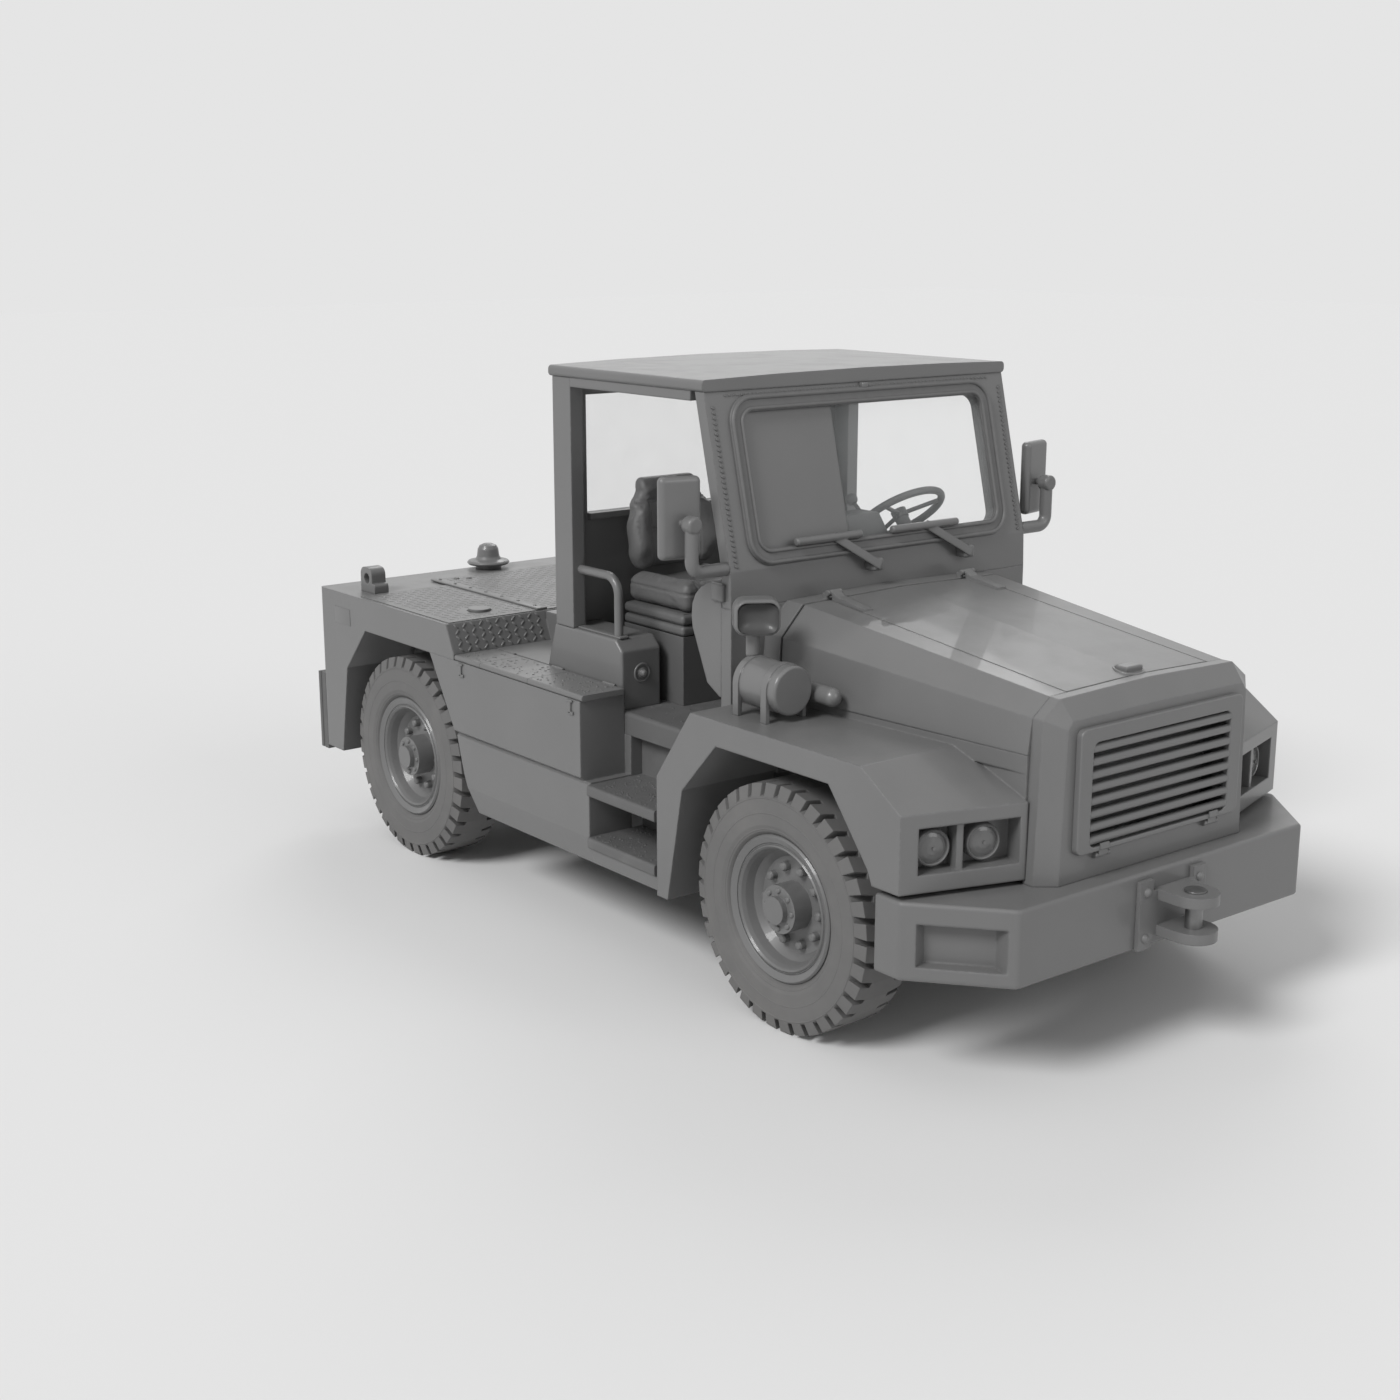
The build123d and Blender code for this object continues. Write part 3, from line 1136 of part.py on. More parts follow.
def cab_floor():
    """Cab floor slab with rounded long edges, on two bearers across the rails."""
    floor = block((POST_REAR_X, FIREWALL_X), (-CAB_HALF, CAB_HALF),
                  (CAB_FLOOR_Z - CAB_FLOOR_THICK, CAB_FLOOR_Z))
    top_edges = floor.edges().filter_by(Axis.X).group_by(Axis.Z)[-1]
    floor = fillet(top_edges, ROOF_EDGE)
    for x in (POST_REAR_X + 100, FIREWALL_X - 160):
        floor += block((x, x + 80), (-RAIL_SIDE_Y, RAIL_SIDE_Y), (RAIL_TOP_Z, CAB_FLOOR_Z - CAB_FLOOR_THICK))
    return floor


def screen_profile(inset):
    return [
        (SCREEN_FOOT_X - inset, SCREEN_FOOT_Z), (SCREEN_BEND_X - inset, SCREEN_BEND_Z),
        (SCREEN_TOP_X - inset, ROOF_BASE_Z),
    ]


def screen_x(z):
    """Outer face of the leaning windscreen panel at a height."""
    share = (z - SCREEN_BEND_Z) / (ROOF_BASE_Z - SCREEN_BEND_Z)
    return SCREEN_BEND_X + (SCREEN_TOP_X - SCREEN_BEND_X) * share


def screen_block(half, base_z, top_z, corner, start, end):
    """Rounded prism square to the leaning windscreen, between two depths from its face."""
    lean = Vector(screen_x(top_z) - screen_x(base_z), 0, top_z - base_z)
    middle_z = (base_z + top_z) / 2
    normal = Vector(lean.Z, 0, -lean.X).normalized()
    plane = Plane(origin=Vector(screen_x(middle_z), 0, middle_z) + normal * start,
                  x_dir=(0, 1, 0), z_dir=normal * (1 if end > start else -1))
    face = plane * RectangleRounded(2 * half, lean.length, corner)
    return extrude(face, abs(end - start))


def screen_frame():
    """Leaning windscreen panel with its opening and the two front posts."""
    outline = [*screen_profile(0), *reversed(screen_profile(SCREEN_THICK))]
    panel = across(outline, -CAB_HALF, CAB_HALF)
    return panel - screen_block(SCREEN_OPEN_HALF, SCREEN_OPEN_BASE_Z, SCREEN_OPEN_TOP_Z,
                                SCREEN_CORNER, SCREEN_THICK, -2 * SCREEN_THICK)


def screen_gasket():
    """Rubber ring round the windscreen, proud of the panel."""
    wide = GASKET_WIDTH
    ring = screen_block(SCREEN_OPEN_HALF + wide, SCREEN_OPEN_BASE_Z - wide, SCREEN_OPEN_TOP_Z + wide,
                        SCREEN_CORNER + wide, 0, GASKET_PROUD)
    front = ring.faces().sort_by(SortBy.AREA)[-2:].sort_by(Axis.X)[-1]
    ring = fillet(front.edges(), GASKET_PROUD / 2)
    return ring - screen_block(SCREEN_OPEN_HALF - 8, SCREEN_OPEN_BASE_Z + 8, SCREEN_OPEN_TOP_Z - 8,
                               SCREEN_CORNER - 8, -1, GASKET_PROUD + 1)


def screen_panes():
    """Blank pane on the right of the windscreen and clear glass on the left."""
    whole = screen_block(SCREEN_OPEN_HALF - SEAT_GAP, SCREEN_OPEN_BASE_Z + SEAT_GAP,
                         SCREEN_OPEN_TOP_Z - SEAT_GAP, SCREEN_CORNER, -GLASS - 12, -12)
    left = block((0, 2 * BUMPER_FRONT_X), (PANE_EDGE_Y, HALF_WIDTH), (0, 2 * ROOF_BASE_Z))
    return whole - left, whole & left


def roof():
    """Roof panel with rounded edges and a low crown."""
    half = ROOF_HALF
    section = [
        (-half, ROOF_BASE_Z), (half, ROOF_BASE_Z), (half, ROOF_BASE_Z + ROOF_THICK - ROOF_CROWN),
        (half * 0.55, ROOF_BASE_Z + ROOF_THICK - ROOF_CROWN * 0.3),
        (0, ROOF_BASE_Z + ROOF_THICK),
        (-half * 0.55, ROOF_BASE_Z + ROOF_THICK - ROOF_CROWN * 0.3),
        (-half, ROOF_BASE_Z + ROOF_THICK - ROOF_CROWN),
    ]
    panel = along(section, ROOF_REAR_X, ROOF_FRONT_X)
    sides = panel.edges().filter_by(Axis.X)
    outer = [edge for edge in sides if abs(edge.center().Y) > half - 1]
    panel = fillet(outer, ROOF_EDGE)
    for rail in drip_rails():
        panel += rail
    return panel


def drip_rails():
    """Rails under the two long edges of the roof, between the screen and the rear posts."""
    rails = []
    for side in (-1, 1):
        rails.append(block((POST_FRONT_X, SCREEN_TOP_X - SCREEN_THICK - 30),
                           sorted((side * (CAB_HALF - POST_WIDTH), side * CAB_HALF)),
                           (ROOF_BASE_Z - DRIP_RAIL, ROOF_BASE_Z)))
    return rails


def rear_wall():
    """Cab rear wall with its wide window and ledge, and the two rear posts."""
    side_half = CAB_HALF - SILL_WIDTH
    wall = block((POST_REAR_X, POST_REAR_X + REAR_WALL), (-side_half, side_half), (CAB_FLOOR_Z, ROOF_BASE_Z))
    wall += block((POST_REAR_X, POST_REAR_X + REAR_WALL), (-CAB_HALF, CAB_HALF), (SILL_TOP_Z, ROOF_BASE_Z))
    for side in (-1, 1):
        wall += block((POST_REAR_X, POST_FRONT_X), sorted((side * (CAB_HALF - POST_WIDTH), side * CAB_HALF)),
                      (SILL_TOP_Z, ROOF_BASE_Z))
    half = REAR_WINDOW_HALF
    wall += block((POST_REAR_X, POST_REAR_X + REAR_WALL + REAR_LEDGE), (-half, half),
                  (REAR_WINDOW_BASE_Z - REAR_LEDGE, REAR_WINDOW_BASE_Z))
    return wall - block((POST_REAR_X - 1, POST_REAR_X + REAR_WALL + REAR_LEDGE + 1), (-half, half),
                        (REAR_WINDOW_BASE_Z, REAR_WINDOW_TOP_Z))


def rear_window():
    """Glass in the cab's rear wall."""
    half = REAR_WINDOW_HALF - SEAT_GAP
    middle = POST_REAR_X + REAR_WALL / 2
    return block((middle - GLASS / 2, middle + GLASS / 2), (-half, half),
                 (REAR_WINDOW_BASE_Z, REAR_WINDOW_TOP_Z - SEAT_GAP))


def sill_block():
    """Left cab side below the doorway: a wide low block, cut at its front corner, with a knob."""
    outline = [
        (SILL_REAR_X, LID_TOP_Z), (POST_REAR_X, LID_TOP_Z), (POST_REAR_X, CAB_FLOOR_Z),
        (SILL_FRONT_X, CAB_FLOOR_Z), (SILL_FRONT_X, SILL_TOP_Z - SILL_CUT),
        (SILL_FRONT_X - SILL_CUT, SILL_TOP_Z), (SILL_REAR_X + SILL_SLOPE, SILL_TOP_Z),
    ]
    wall = across(outline, CAB_HALF - SILL_WIDTH, CAB_HALF)
    bends = [edge for edge in wall.edges().filter_by(Axis.Y)
             if edge.center().X > SILL_FRONT_X - SILL_CUT - 1 and edge.center().Z > CAB_FLOOR_Z + 1]
    wall = fillet(bends, SILL_EDGE)
    top_edges = wall.edges().filter_by(Axis.X).group_by(Axis.Z)[-1]
    wall = fillet(top_edges, STEP_EDGE)
    y, z = SILL_KNOB
    return wall + turned((SILL_FRONT_X - 2, y, z), (SILL_FRONT_X, y, z), (
        (0, 0), (0, SILL_KNOB_RADIUS), (8, SILL_KNOB_RADIUS), (10, SILL_KNOB_RADIUS * 0.7),
        (22, SILL_KNOB_RADIUS * 0.6), (28, SILL_KNOB_RADIUS * 0.4), (28, 0)))


def post_hinge():
    """Left hinge box, proud of the gusset plate in front of the doorway."""
    x = FIREWALL_X - 10
    box = block((x - POST_HINGE_HALF, x + POST_HINGE_HALF), (CAB_HALF - 1, CAB_HALF + POST_HINGE_PROUD),
                (POST_HINGE_Z - POST_HINGE_HALF, POST_HINGE_Z + POST_HINGE_HALF))
    outer = box.faces().sort_by(Axis.Y)[-1].edges()
    box = fillet(outer, POST_HINGE_PROUD / 3)
    return box - block((FIREWALL_X - 196, HOOD_FRONT_X), (0, CAB_HALF), (CAB_FLOOR_Z, ROOF_BASE_Z))


def door_plate():
    """Left gusset plate behind the firewall, narrow at the floor and wide at the screen."""
    outline = [
        (FIREWALL_X, PLATE_FOOT_Z), (FIREWALL_X, SCREEN_FOOT_Z + 96),
        (FIREWALL_X - 76, SCREEN_FOOT_Z + 97), (FIREWALL_X - 134, SCREEN_FOOT_Z + 68),
        (FIREWALL_X - 170, SCREEN_FOOT_Z + 34), (FIREWALL_X - 192, SCREEN_FOOT_Z - 10),
        (FIREWALL_X - 197, SCREEN_FOOT_Z - 60), (FIREWALL_X - 190, SCREEN_FOOT_Z - 110),
        (FIREWALL_X - 92, PLATE_FOOT_Z + 46), (FIREWALL_X - 12, PLATE_FOOT_Z),
    ]
    return across(outline, CAB_HALF - PLATE_THICK, CAB_HALF) + post_hinge()


def seat(y):
    """Seat box, bellows, cushion and back, one above or behind the other."""
    low, high = y - SEAT_WIDTH / 2, y + SEAT_WIDTH / 2
    box = block((SEAT_REAR_X + 20, SEAT_FRONT_X - 20), (low + 10, high - 10), (CAB_FLOOR_Z, SEAT_BOX_Z))
    half_rib = (SEAT_CUSHION_Z - SEAT_BOX_Z) / 4
    bellows = block((SEAT_REAR_X + 40, SEAT_FRONT_X - 36), (low + 24, high - 24),
                    (SEAT_BOX_Z + SEAT_GAP, SEAT_CUSHION_Z - SEAT_GAP))
    for level in (1, 3):
        z = SEAT_BOX_Z + level * half_rib
        rib = block((SEAT_REAR_X + 20, SEAT_FRONT_X - 16), (low + 4, high - 4),
                    (z - half_rib + 3, z + half_rib - 3))
        bellows += fillet(rib.edges(), half_rib * 0.7)
    cushion = block((SEAT_REAR_X, SEAT_FRONT_X), (low, high), (SEAT_CUSHION_Z, SEAT_TOP_Z))
    cushion = fillet(cushion.edges(), 24)
    profile = [
        (SEAT_REAR_X + 4, SEAT_TOP_Z + SEAT_GAP), (SEAT_REAR_X + 104, SEAT_TOP_Z + SEAT_GAP),
        (SEAT_REAR_X + 60, SEAT_BACK_TOP_Z), (SEAT_REAR_X - 30, SEAT_BACK_TOP_Z),
    ]
    back = across(profile, low, high)
    back = fillet(back.edges(), 22)
    return box, bellows, cushion, back


def column_point(reach):
    """Point along the steering column, a reach below the middle of the wheel."""
    direction = Vector(-cos(radians(COLUMN_ANGLE)), 0, sin(radians(COLUMN_ANGLE)))
    return Vector(WHEEL_HUB_X, STEER_Y, WHEEL_HUB_Z) - direction * reach


def steering_column():
    """Steering column from the firewall up to just under the wheel."""
    reach = (FIREWALL_X - WHEEL_HUB_X) / cos(radians(COLUMN_ANGLE))
    column = rod(column_point(reach + 2 * COLUMN_RADIUS), column_point(STEER_HUB_HALF + SEAT_GAP), COLUMN_RADIUS)
    return column - block((FIREWALL_X, HOOD_FRONT_X), (0, HALF_WIDTH), (CAB_FLOOR_Z, ROOF_BASE_Z))


def steering_wheel():
    """Steering wheel: rim, three spokes and a hub on the column's axis."""
    axis = column_point(0) - column_point(100)
    plane = Plane(origin=column_point(0), x_dir=(0, 1, 0), z_dir=axis)
    wheel = plane * Torus(STEER_RADIUS, STEER_RIM)
    wheel += plane * Cylinder(STEER_HUB_RADIUS, 2 * STEER_HUB_HALF)
    for index in range(3):
        turn = 2 * pi * index / 3 + pi / 2
        tip = plane.from_local_coords((STEER_RADIUS * cos(turn), STEER_RADIUS * sin(turn), 0))
        wheel += rod(column_point(0), tip, STEER_SPOKE)
    return wheel


def dash():
    """Dash shelf behind the windscreen with its middle instrument binnacle and a lever."""
    front = SCREEN_BEND_X - SCREEN_THICK - MOVE_GAP
    outline = [
        (FIREWALL_X, DASH_BASE_Z), (FIREWALL_X, SCREEN_FOOT_Z), (front, SCREEN_FOOT_Z),
        (front, DASH_TOP_Z), (DASH_REAR_X, DASH_TOP_Z - 20), (DASH_REAR_X + 60, DASH_BASE_Z),
    ]
    body = across(outline, -DASH_HALF, DASH_HALF)
    base = [(BINNACLE_Y + y, z) for y, z in (
        (-BINNACLE_HALF, DASH_BASE_Z + 100), (BINNACLE_HALF, DASH_BASE_Z + 100),
        (BINNACLE_HALF, DASH_TOP_Z), (BINNACLE_TOP_HALF, BINNACLE_TOP_Z),
        (-BINNACLE_TOP_HALF, BINNACLE_TOP_Z), (-BINNACLE_HALF, DASH_TOP_Z))]
    body += along(base, BINNACLE_REAR_X, BINNACLE_FRONT_X)
    foot = (BINNACLE_REAR_X + 40, LEVER_TOP[1], BINNACLE_TOP_Z - LEVER_KNOB)
    body += rod(foot, LEVER_TOP, LEVER_KNOB / 3)
    return body + Pos(*LEVER_TOP) * Sphere(LEVER_KNOB)


def mirror_arm():
    """Left mirror arm: a stout bent tube from the front post up to its clamp knob."""
    path = FilletPolyline((MIRROR_X, CAB_HALF, MIRROR_ARM_Z), (MIRROR_X, MIRROR_Y, MIRROR_ARM_Z),
                          (MIRROR_X, MIRROR_Y, MIRROR_KNOB_Z), radius=MIRROR_ARM_BEND)
    ring = Plane(origin=(MIRROR_X, CAB_HALF, MIRROR_ARM_Z), z_dir=(0, 1, 0)) * Circle(MIRROR_ARM_RADIUS)
    arm = sweep(ring, path=path)
    knob = rod((MIRROR_X + MIRROR_KNOB_HALF, MIRROR_Y, MIRROR_KNOB_Z),
               (MIRROR_X - MIRROR_KNOB_HALF, MIRROR_Y, MIRROR_KNOB_Z), MIRROR_KNOB_RADIUS)
    arm += fillet(knob.edges().filter_by(GeomType.CIRCLE), MIRROR_KNOB_EDGE)
    arm += rod((MIRROR_X, MIRROR_Y, MIRROR_KNOB_Z), (MIRROR_X - MIRROR_BACK, MIRROR_Y, MIRROR_KNOB_Z),
               MIRROR_STALK)
    return arm


def mirror_head():
    """Left mirror head, a rounded upright box turned a little outwards."""
    half_deep, half_wide, half_high = MIRROR_DEEP / 2, MIRROR_WIDE / 2, MIRROR_HIGH / 2
    head = Box(2 * half_deep, 2 * half_wide, 2 * half_high)
    head = fillet(head.edges(), MIRROR_EDGE)
    return Pos(MIRROR_X - MIRROR_BACK, MIRROR_Y, MIRROR_MID_Z) * Rot(0, 0, MIRROR_TURN) * head


def wiper(foot_y, elbow_y, blade_low, blade_high):
    """Wiper: rounded foot box on the panel, flat arm up to its elbow, round blade along the glass."""
    deep, wide, high = WIPER_FOOT
    foot_x = screen_x(WIPER_FOOT_Z)
    box = fillet(Box(2 * deep, wide, high).edges(), wide / 5)
    body = Pos(foot_x, foot_y, WIPER_FOOT_Z) * box
    blade_x = screen_x(WIPER_BLADE_Z) + GASKET_PROUD + WIPER_BLADE_RADIUS + SEAT_GAP
    foot = Vector(foot_x + deep, foot_y, WIPER_FOOT_Z)
    run = Vector(blade_x, elbow_y, WIPER_BLADE_Z) - foot
    plane = Plane(origin=foot + run / 2, x_dir=run, z_dir=run.cross(Vector(1, 0, 0)).cross(run))
    body += plane * Box(run.length + WIPER_ARM_HALF, 2 * WIPER_ARM_HALF, WIPER_ARM_THICK)
    blade = rod((blade_x, blade_low, WIPER_BLADE_Z), (blade_x, blade_high, WIPER_BLADE_Z), WIPER_BLADE_RADIUS)
    body += fillet(blade.edges().filter_by(GeomType.CIRCLE), WIPER_BLADE_RADIUS / 2)
    return body - screen_frame()


def handle():
    """Left grab handle: out of the rear post, forward and down to the sill."""
    y = CAB_HALF - HANDLE_INSET
    bend = HANDLE_BEND
    path = FilletPolyline((POST_FRONT_X, y, HANDLE_TOP_Z), (HANDLE_FRONT_X, y, HANDLE_TOP_Z),
                          (HANDLE_FRONT_X, y, SILL_TOP_Z), radius=bend)
    ring = Plane(origin=(POST_FRONT_X, y, HANDLE_TOP_Z), z_dir=(1, 0, 0)) * Circle(HANDLE_RADIUS)
    return sweep(ring, path=path)


def air_cleaner():
    """Air cleaner drum lying along the right fender on two band feet, with its outlet duct."""
    y, z = CLEANER_Y, FENDER_TOP_Z + CLEANER_RISE
    drum = rod((CLEANER_REAR_X, y, z), (CLEANER_FRONT_X, y, z), CLEANER_RADIUS)
    drum = fillet(drum.edges().filter_by(GeomType.CIRCLE), 12)
    foot_half = CLEANER_RADIUS + CLEANER_BAND
    for x in CLEANER_BANDS:
        low_x, high_x = x - CLEANER_BAND_HALF, x + CLEANER_BAND_HALF
        cradle = block((low_x, high_x), (y - foot_half, y + foot_half), (FENDER_TOP_Z, z))
        cradle += rod((low_x, y, z), (high_x, y, z), foot_half)
        arch = block((low_x - 1, high_x + 1), (y - foot_half + PANEL, y + foot_half - PANEL),
                     (FENDER_TOP_Z - 1, z - CLEANER_RADIUS / 2))
        drum += cradle - arch
    start = (CLEANER_REAR_X + 60, OUTLET_Y, OUTLET_Z)
    end = (OUTLET_FRONT_X - OUTLET_RADIUS, OUTLET_Y, OUTLET_Z)
    drum += domed(start, end, OUTLET_RADIUS, OUTLET_RADIUS)
    return drum + rod((CLEANER_REAR_X + 100, y, z), (CLEANER_REAR_X + 100, OUTLET_Y, OUTLET_Z), OUTLET_RADIUS)


def air_intake():
    """Air intake: a pipe up from the cleaner's rear end to a hood open to the front."""
    long, wide, high = INTAKE_SIZE
    axis_z = FENDER_TOP_Z + CLEANER_RISE
    pipe = rod((INTAKE_X, CLEANER_Y, axis_z + CLEANER_RADIUS - CLEANER_BAND),
               (INTAKE_X, CLEANER_Y, INTAKE_Z), INTAKE_PIPE_RADIUS)
    reach = 2 * INTAKE_PIPE_RADIUS
    pipe -= rod((INTAKE_X - reach, CLEANER_Y, axis_z), (INTAKE_X + reach, CLEANER_Y, axis_z),
                CLEANER_RADIUS + CLEANER_BAND + SEAT_GAP)
    centre = Pos(INTAKE_X + PANEL, CLEANER_Y, INTAKE_Z) * Rot(0, 0, INTAKE_TURN)
    hood = centre * fillet(Box(long, wide, high).edges(), INTAKE_EDGE)
    wall = 2 * INTAKE_WALL
    room = fillet(Box(2 * long - INTAKE_DEEP, wide - wall, high - wall).edges(), INTAKE_EDGE - INTAKE_WALL)
    return pipe + (hood - centre * Pos(long - INTAKE_DEEP, 0, 0) * room)


def lifting_eye():
    """Left lifting eye on the deck: a rounded tower with its hole, behind a lower step."""
    top = DECK_Z + EYE_HIGH
    tower = block((EYE_X - 62, EYE_X + 52), (EYE_Y - 40, EYE_Y + 40), (DECK_Z, top))
    tower = fillet(tower.edges().filter_by(Axis.Y).group_by(Axis.Z)[-1], 4 * EYE_EDGE)
    step = block((EYE_X, EYE_X + 80), (EYE_Y - 40, EYE_Y + 40), (DECK_Z, DECK_Z + EYE_STEP))
    tower += fillet(step.edges().filter_by(Axis.Y).group_by(Axis.Z)[-1], 2 * EYE_EDGE)
    hole_z = top - EYE_HOLE - 31
    return tower - rod((EYE_X, EYE_Y - 60, hole_z), (EYE_X, EYE_Y + 60, hole_z), EYE_HOLE)


def beacon():
    """Beacon: a round foot, a wide brim and a dome that flares down into it like a hat."""
    foot = (BEACON_X, BEACON_Y, DECK_Z)
    top = BEACON_HIGH
    return turned(foot, (BEACON_X, BEACON_Y, DECK_Z + top), (
        (0, 0), (0, BEACON_FOOT), (BEACON_BRIM_Z - 4, BEACON_FOOT), (BEACON_BRIM_Z, BEACON_BRIM - 8),
        (BEACON_BRIM_Z + 10, BEACON_BRIM), (BEACON_BRIM_Z + 20, BEACON_BRIM - 8),
        (BEACON_BRIM_Z + 28, BEACON_RADIUS + 10), (BEACON_BRIM_Z + 42, BEACON_RADIUS),
        (top - 30, BEACON_RADIUS - 6), (top - 12, BEACON_RADIUS - 16), (top - 2, BEACON_RADIUS - 38), (top, 0)))


def filler_cap():
    """Filler cap on the right of the deck."""
    return rod((FILLER_X, FILLER_Y, DECK_Z), (FILLER_X, FILLER_Y, DECK_Z + 16), FILLER_RADIUS)


def deck_plates():
    """Three loose-edged tread plates on the deck, the right one cut out round the filler cap."""
    front = DECK_FRONT_X - DECK_SEAM
    top = DECK_Z + DECK_PLATE
    outer = (HUMP_HALF + DECK_SEAM / 2, HALF_WIDTH - 2 * DECK_SEAM)
    left = block((DECK_PLATE_REAR_X, front), outer, (DECK_Z, top))
    inner = HUMP_HALF - DECK_SEAM / 2
    middle = block((MIDDLE_PLATE_REAR_X, front), (-inner, inner), (DECK_Z, top))
    right = other_side(left) - rod((FILLER_X, FILLER_Y, DECK_Z - 1), (FILLER_X, FILLER_Y, top + 1),
                                   FILLER_RADIUS + DECK_SEAM / 2)
    return left, middle, right


def rear_pads():
    """Rubber buffers on the corners of the rear plate, with upright ribs."""
    outer = HALF_WIDTH - PAD_INSET
    pad = block((-HALF_LENGTH, REAR_FACE_X), (outer - PAD_WIDTH, outer), (PAD_BASE_Z, PAD_TOP_Z))
    pad = fillet(pad.faces().sort_by(Axis.X)[0].edges(), PAD_EDGE)
    pitch = PAD_WIDTH / PAD_RIBS
    reach = PAD_GROOVE / 2
    for index in range(1, PAD_RIBS):
        y = outer - PAD_WIDTH + pitch * index
        pad -= rod((-HALF_LENGTH, y, PAD_BASE_Z - 1), (-HALF_LENGTH, y, PAD_TOP_Z + 1), reach)
    groove_x = (REAR_FACE_X - HALF_LENGTH) / 2
    pad -= rod((groove_x, outer, PAD_BASE_Z - 1), (groove_x, outer, PAD_TOP_Z + 1), reach)
    return both(pad)


def rear_lamps():
    """Round tail lamps, two on each side of the rear plate."""
    lamps = []
    for side in (-1, 1):
        for offset in (0, 170):
            y = side * (HALF_WIDTH - 200 - offset)
            lamps.append(rod((REAR_FACE_X - 32, y, TAIL_LAMP_Z), (REAR_FACE_X, y, TAIL_LAMP_Z), 62))
    return lamps


def both(shape):
    """A left piece and its mirror image on the right."""
    return [shape, other_side(shape)]


def save_chassis():
    save("chassis_frame", chassis_frame())
    save("engine_block", engine_block())
    save("front_axle", front_axle())
    save("rear_axle", rear_axle())
    save("leaf_springs", *leaf_springs())
    for name, side in SIDES:
        save(f"knuckle_{name}", knuckle(side))
    save("tie_rod", tie_rod())


def save_body():
    save("rear_body", rear_body())
    save("side_boxes", *both(side_box()))
    for name, side in SIDES:
        save(f"box_lid_{name}", on_side(box_lid(), side))
    save("steps", *both(steps()))
    save("front_fenders", *both(fender()))
    save("lamps", *[lamp for one in headlamps() for lamp in both(one)], *rear_lamps())
    save("front_bumper", front_bumper())
    rear_pin_x = JAW_HALF - HALF_LENGTH
    save("tow_jaws", jaw(BUMPER_FRONT_X, JAW_PIN_X, JAW_FOOT_THICK),
         jaw(REAR_FACE_X + REAR_PLATE, rear_pin_x, JAW_FOOT_THICK))
    save("tow_pin_front", jaw_pin(JAW_PIN_X))
    save("tow_pin_rear", jaw_pin(rear_pin_x))
    save("rear_pads", *rear_pads())
    save("deck_fittings", *both(lifting_eye()), filler_cap())
    save("deck_plates", *deck_plates())
    save("beacon", beacon())


def save_hood():
    save("hood_sides", hood_sides())
    save("hood_lid", hood_lid())
    save("cowl", cowl() + firewall())
    save("radiator_shell", radiator_shell())
    save("radiator_core", radiator_core())
    save("grille", grille())
    save("air_cleaner", air_cleaner())
    save("air_intake", air_intake())


def save_cab():
    blank, clear = screen_panes()
    save("cab_floor", cab_floor())
    save("screen_frame", screen_frame())
    save("screen_gasket", screen_gasket())
    save("screen_blank_pane", blank)
    save("cab_glass", clear, rear_window())
    save("roof", roof())
    save("rear_wall", rear_wall())
    save("cab_sides", *both(sill_block() + handle()), *both(door_plate()))
    seats = [seat(y) for y in (PASSENGER_Y, DRIVER_Y)]
    for index, node in enumerate(("seat_boxes", "seat_bellows", "seat_cushions", "seat_backs")):
        save(node, *[pieces[index] for pieces in seats])
    save("dash", dash() + steering_column())
    save("steering_wheel", steering_wheel())
    save("mirrors", *both(mirror_arm() + mirror_head()))
    save("wipers", *[wiper(*row) for row in WIPERS])


if __name__ == "__main__":
    os.makedirs("parts", exist_ok=True)
    save_wheels()
    save_chassis()
    save_body()
    save_hood()
    save_cab()
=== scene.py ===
import random
from math import cos, pi, radians, sin

import bmesh
import bpy
from mathutils import Matrix, Vector


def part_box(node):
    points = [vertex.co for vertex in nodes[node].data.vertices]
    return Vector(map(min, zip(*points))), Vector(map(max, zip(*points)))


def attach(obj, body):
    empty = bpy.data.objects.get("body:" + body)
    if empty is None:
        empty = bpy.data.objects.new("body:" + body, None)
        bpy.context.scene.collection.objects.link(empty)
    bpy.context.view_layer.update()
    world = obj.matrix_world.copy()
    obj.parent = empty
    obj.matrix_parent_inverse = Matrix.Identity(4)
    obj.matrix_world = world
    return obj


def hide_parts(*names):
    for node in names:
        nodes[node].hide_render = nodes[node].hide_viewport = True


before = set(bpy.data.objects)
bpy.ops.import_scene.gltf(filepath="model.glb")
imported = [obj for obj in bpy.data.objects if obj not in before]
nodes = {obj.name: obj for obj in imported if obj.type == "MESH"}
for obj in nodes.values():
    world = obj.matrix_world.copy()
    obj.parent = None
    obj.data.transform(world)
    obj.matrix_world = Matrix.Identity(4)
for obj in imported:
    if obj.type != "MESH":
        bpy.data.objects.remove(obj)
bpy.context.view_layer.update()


# Frame rails
# Two pressed steel channels with welded cross members, painted matt and dusted by the road.
# The springs, axles, engine and cab are all bolted to them.


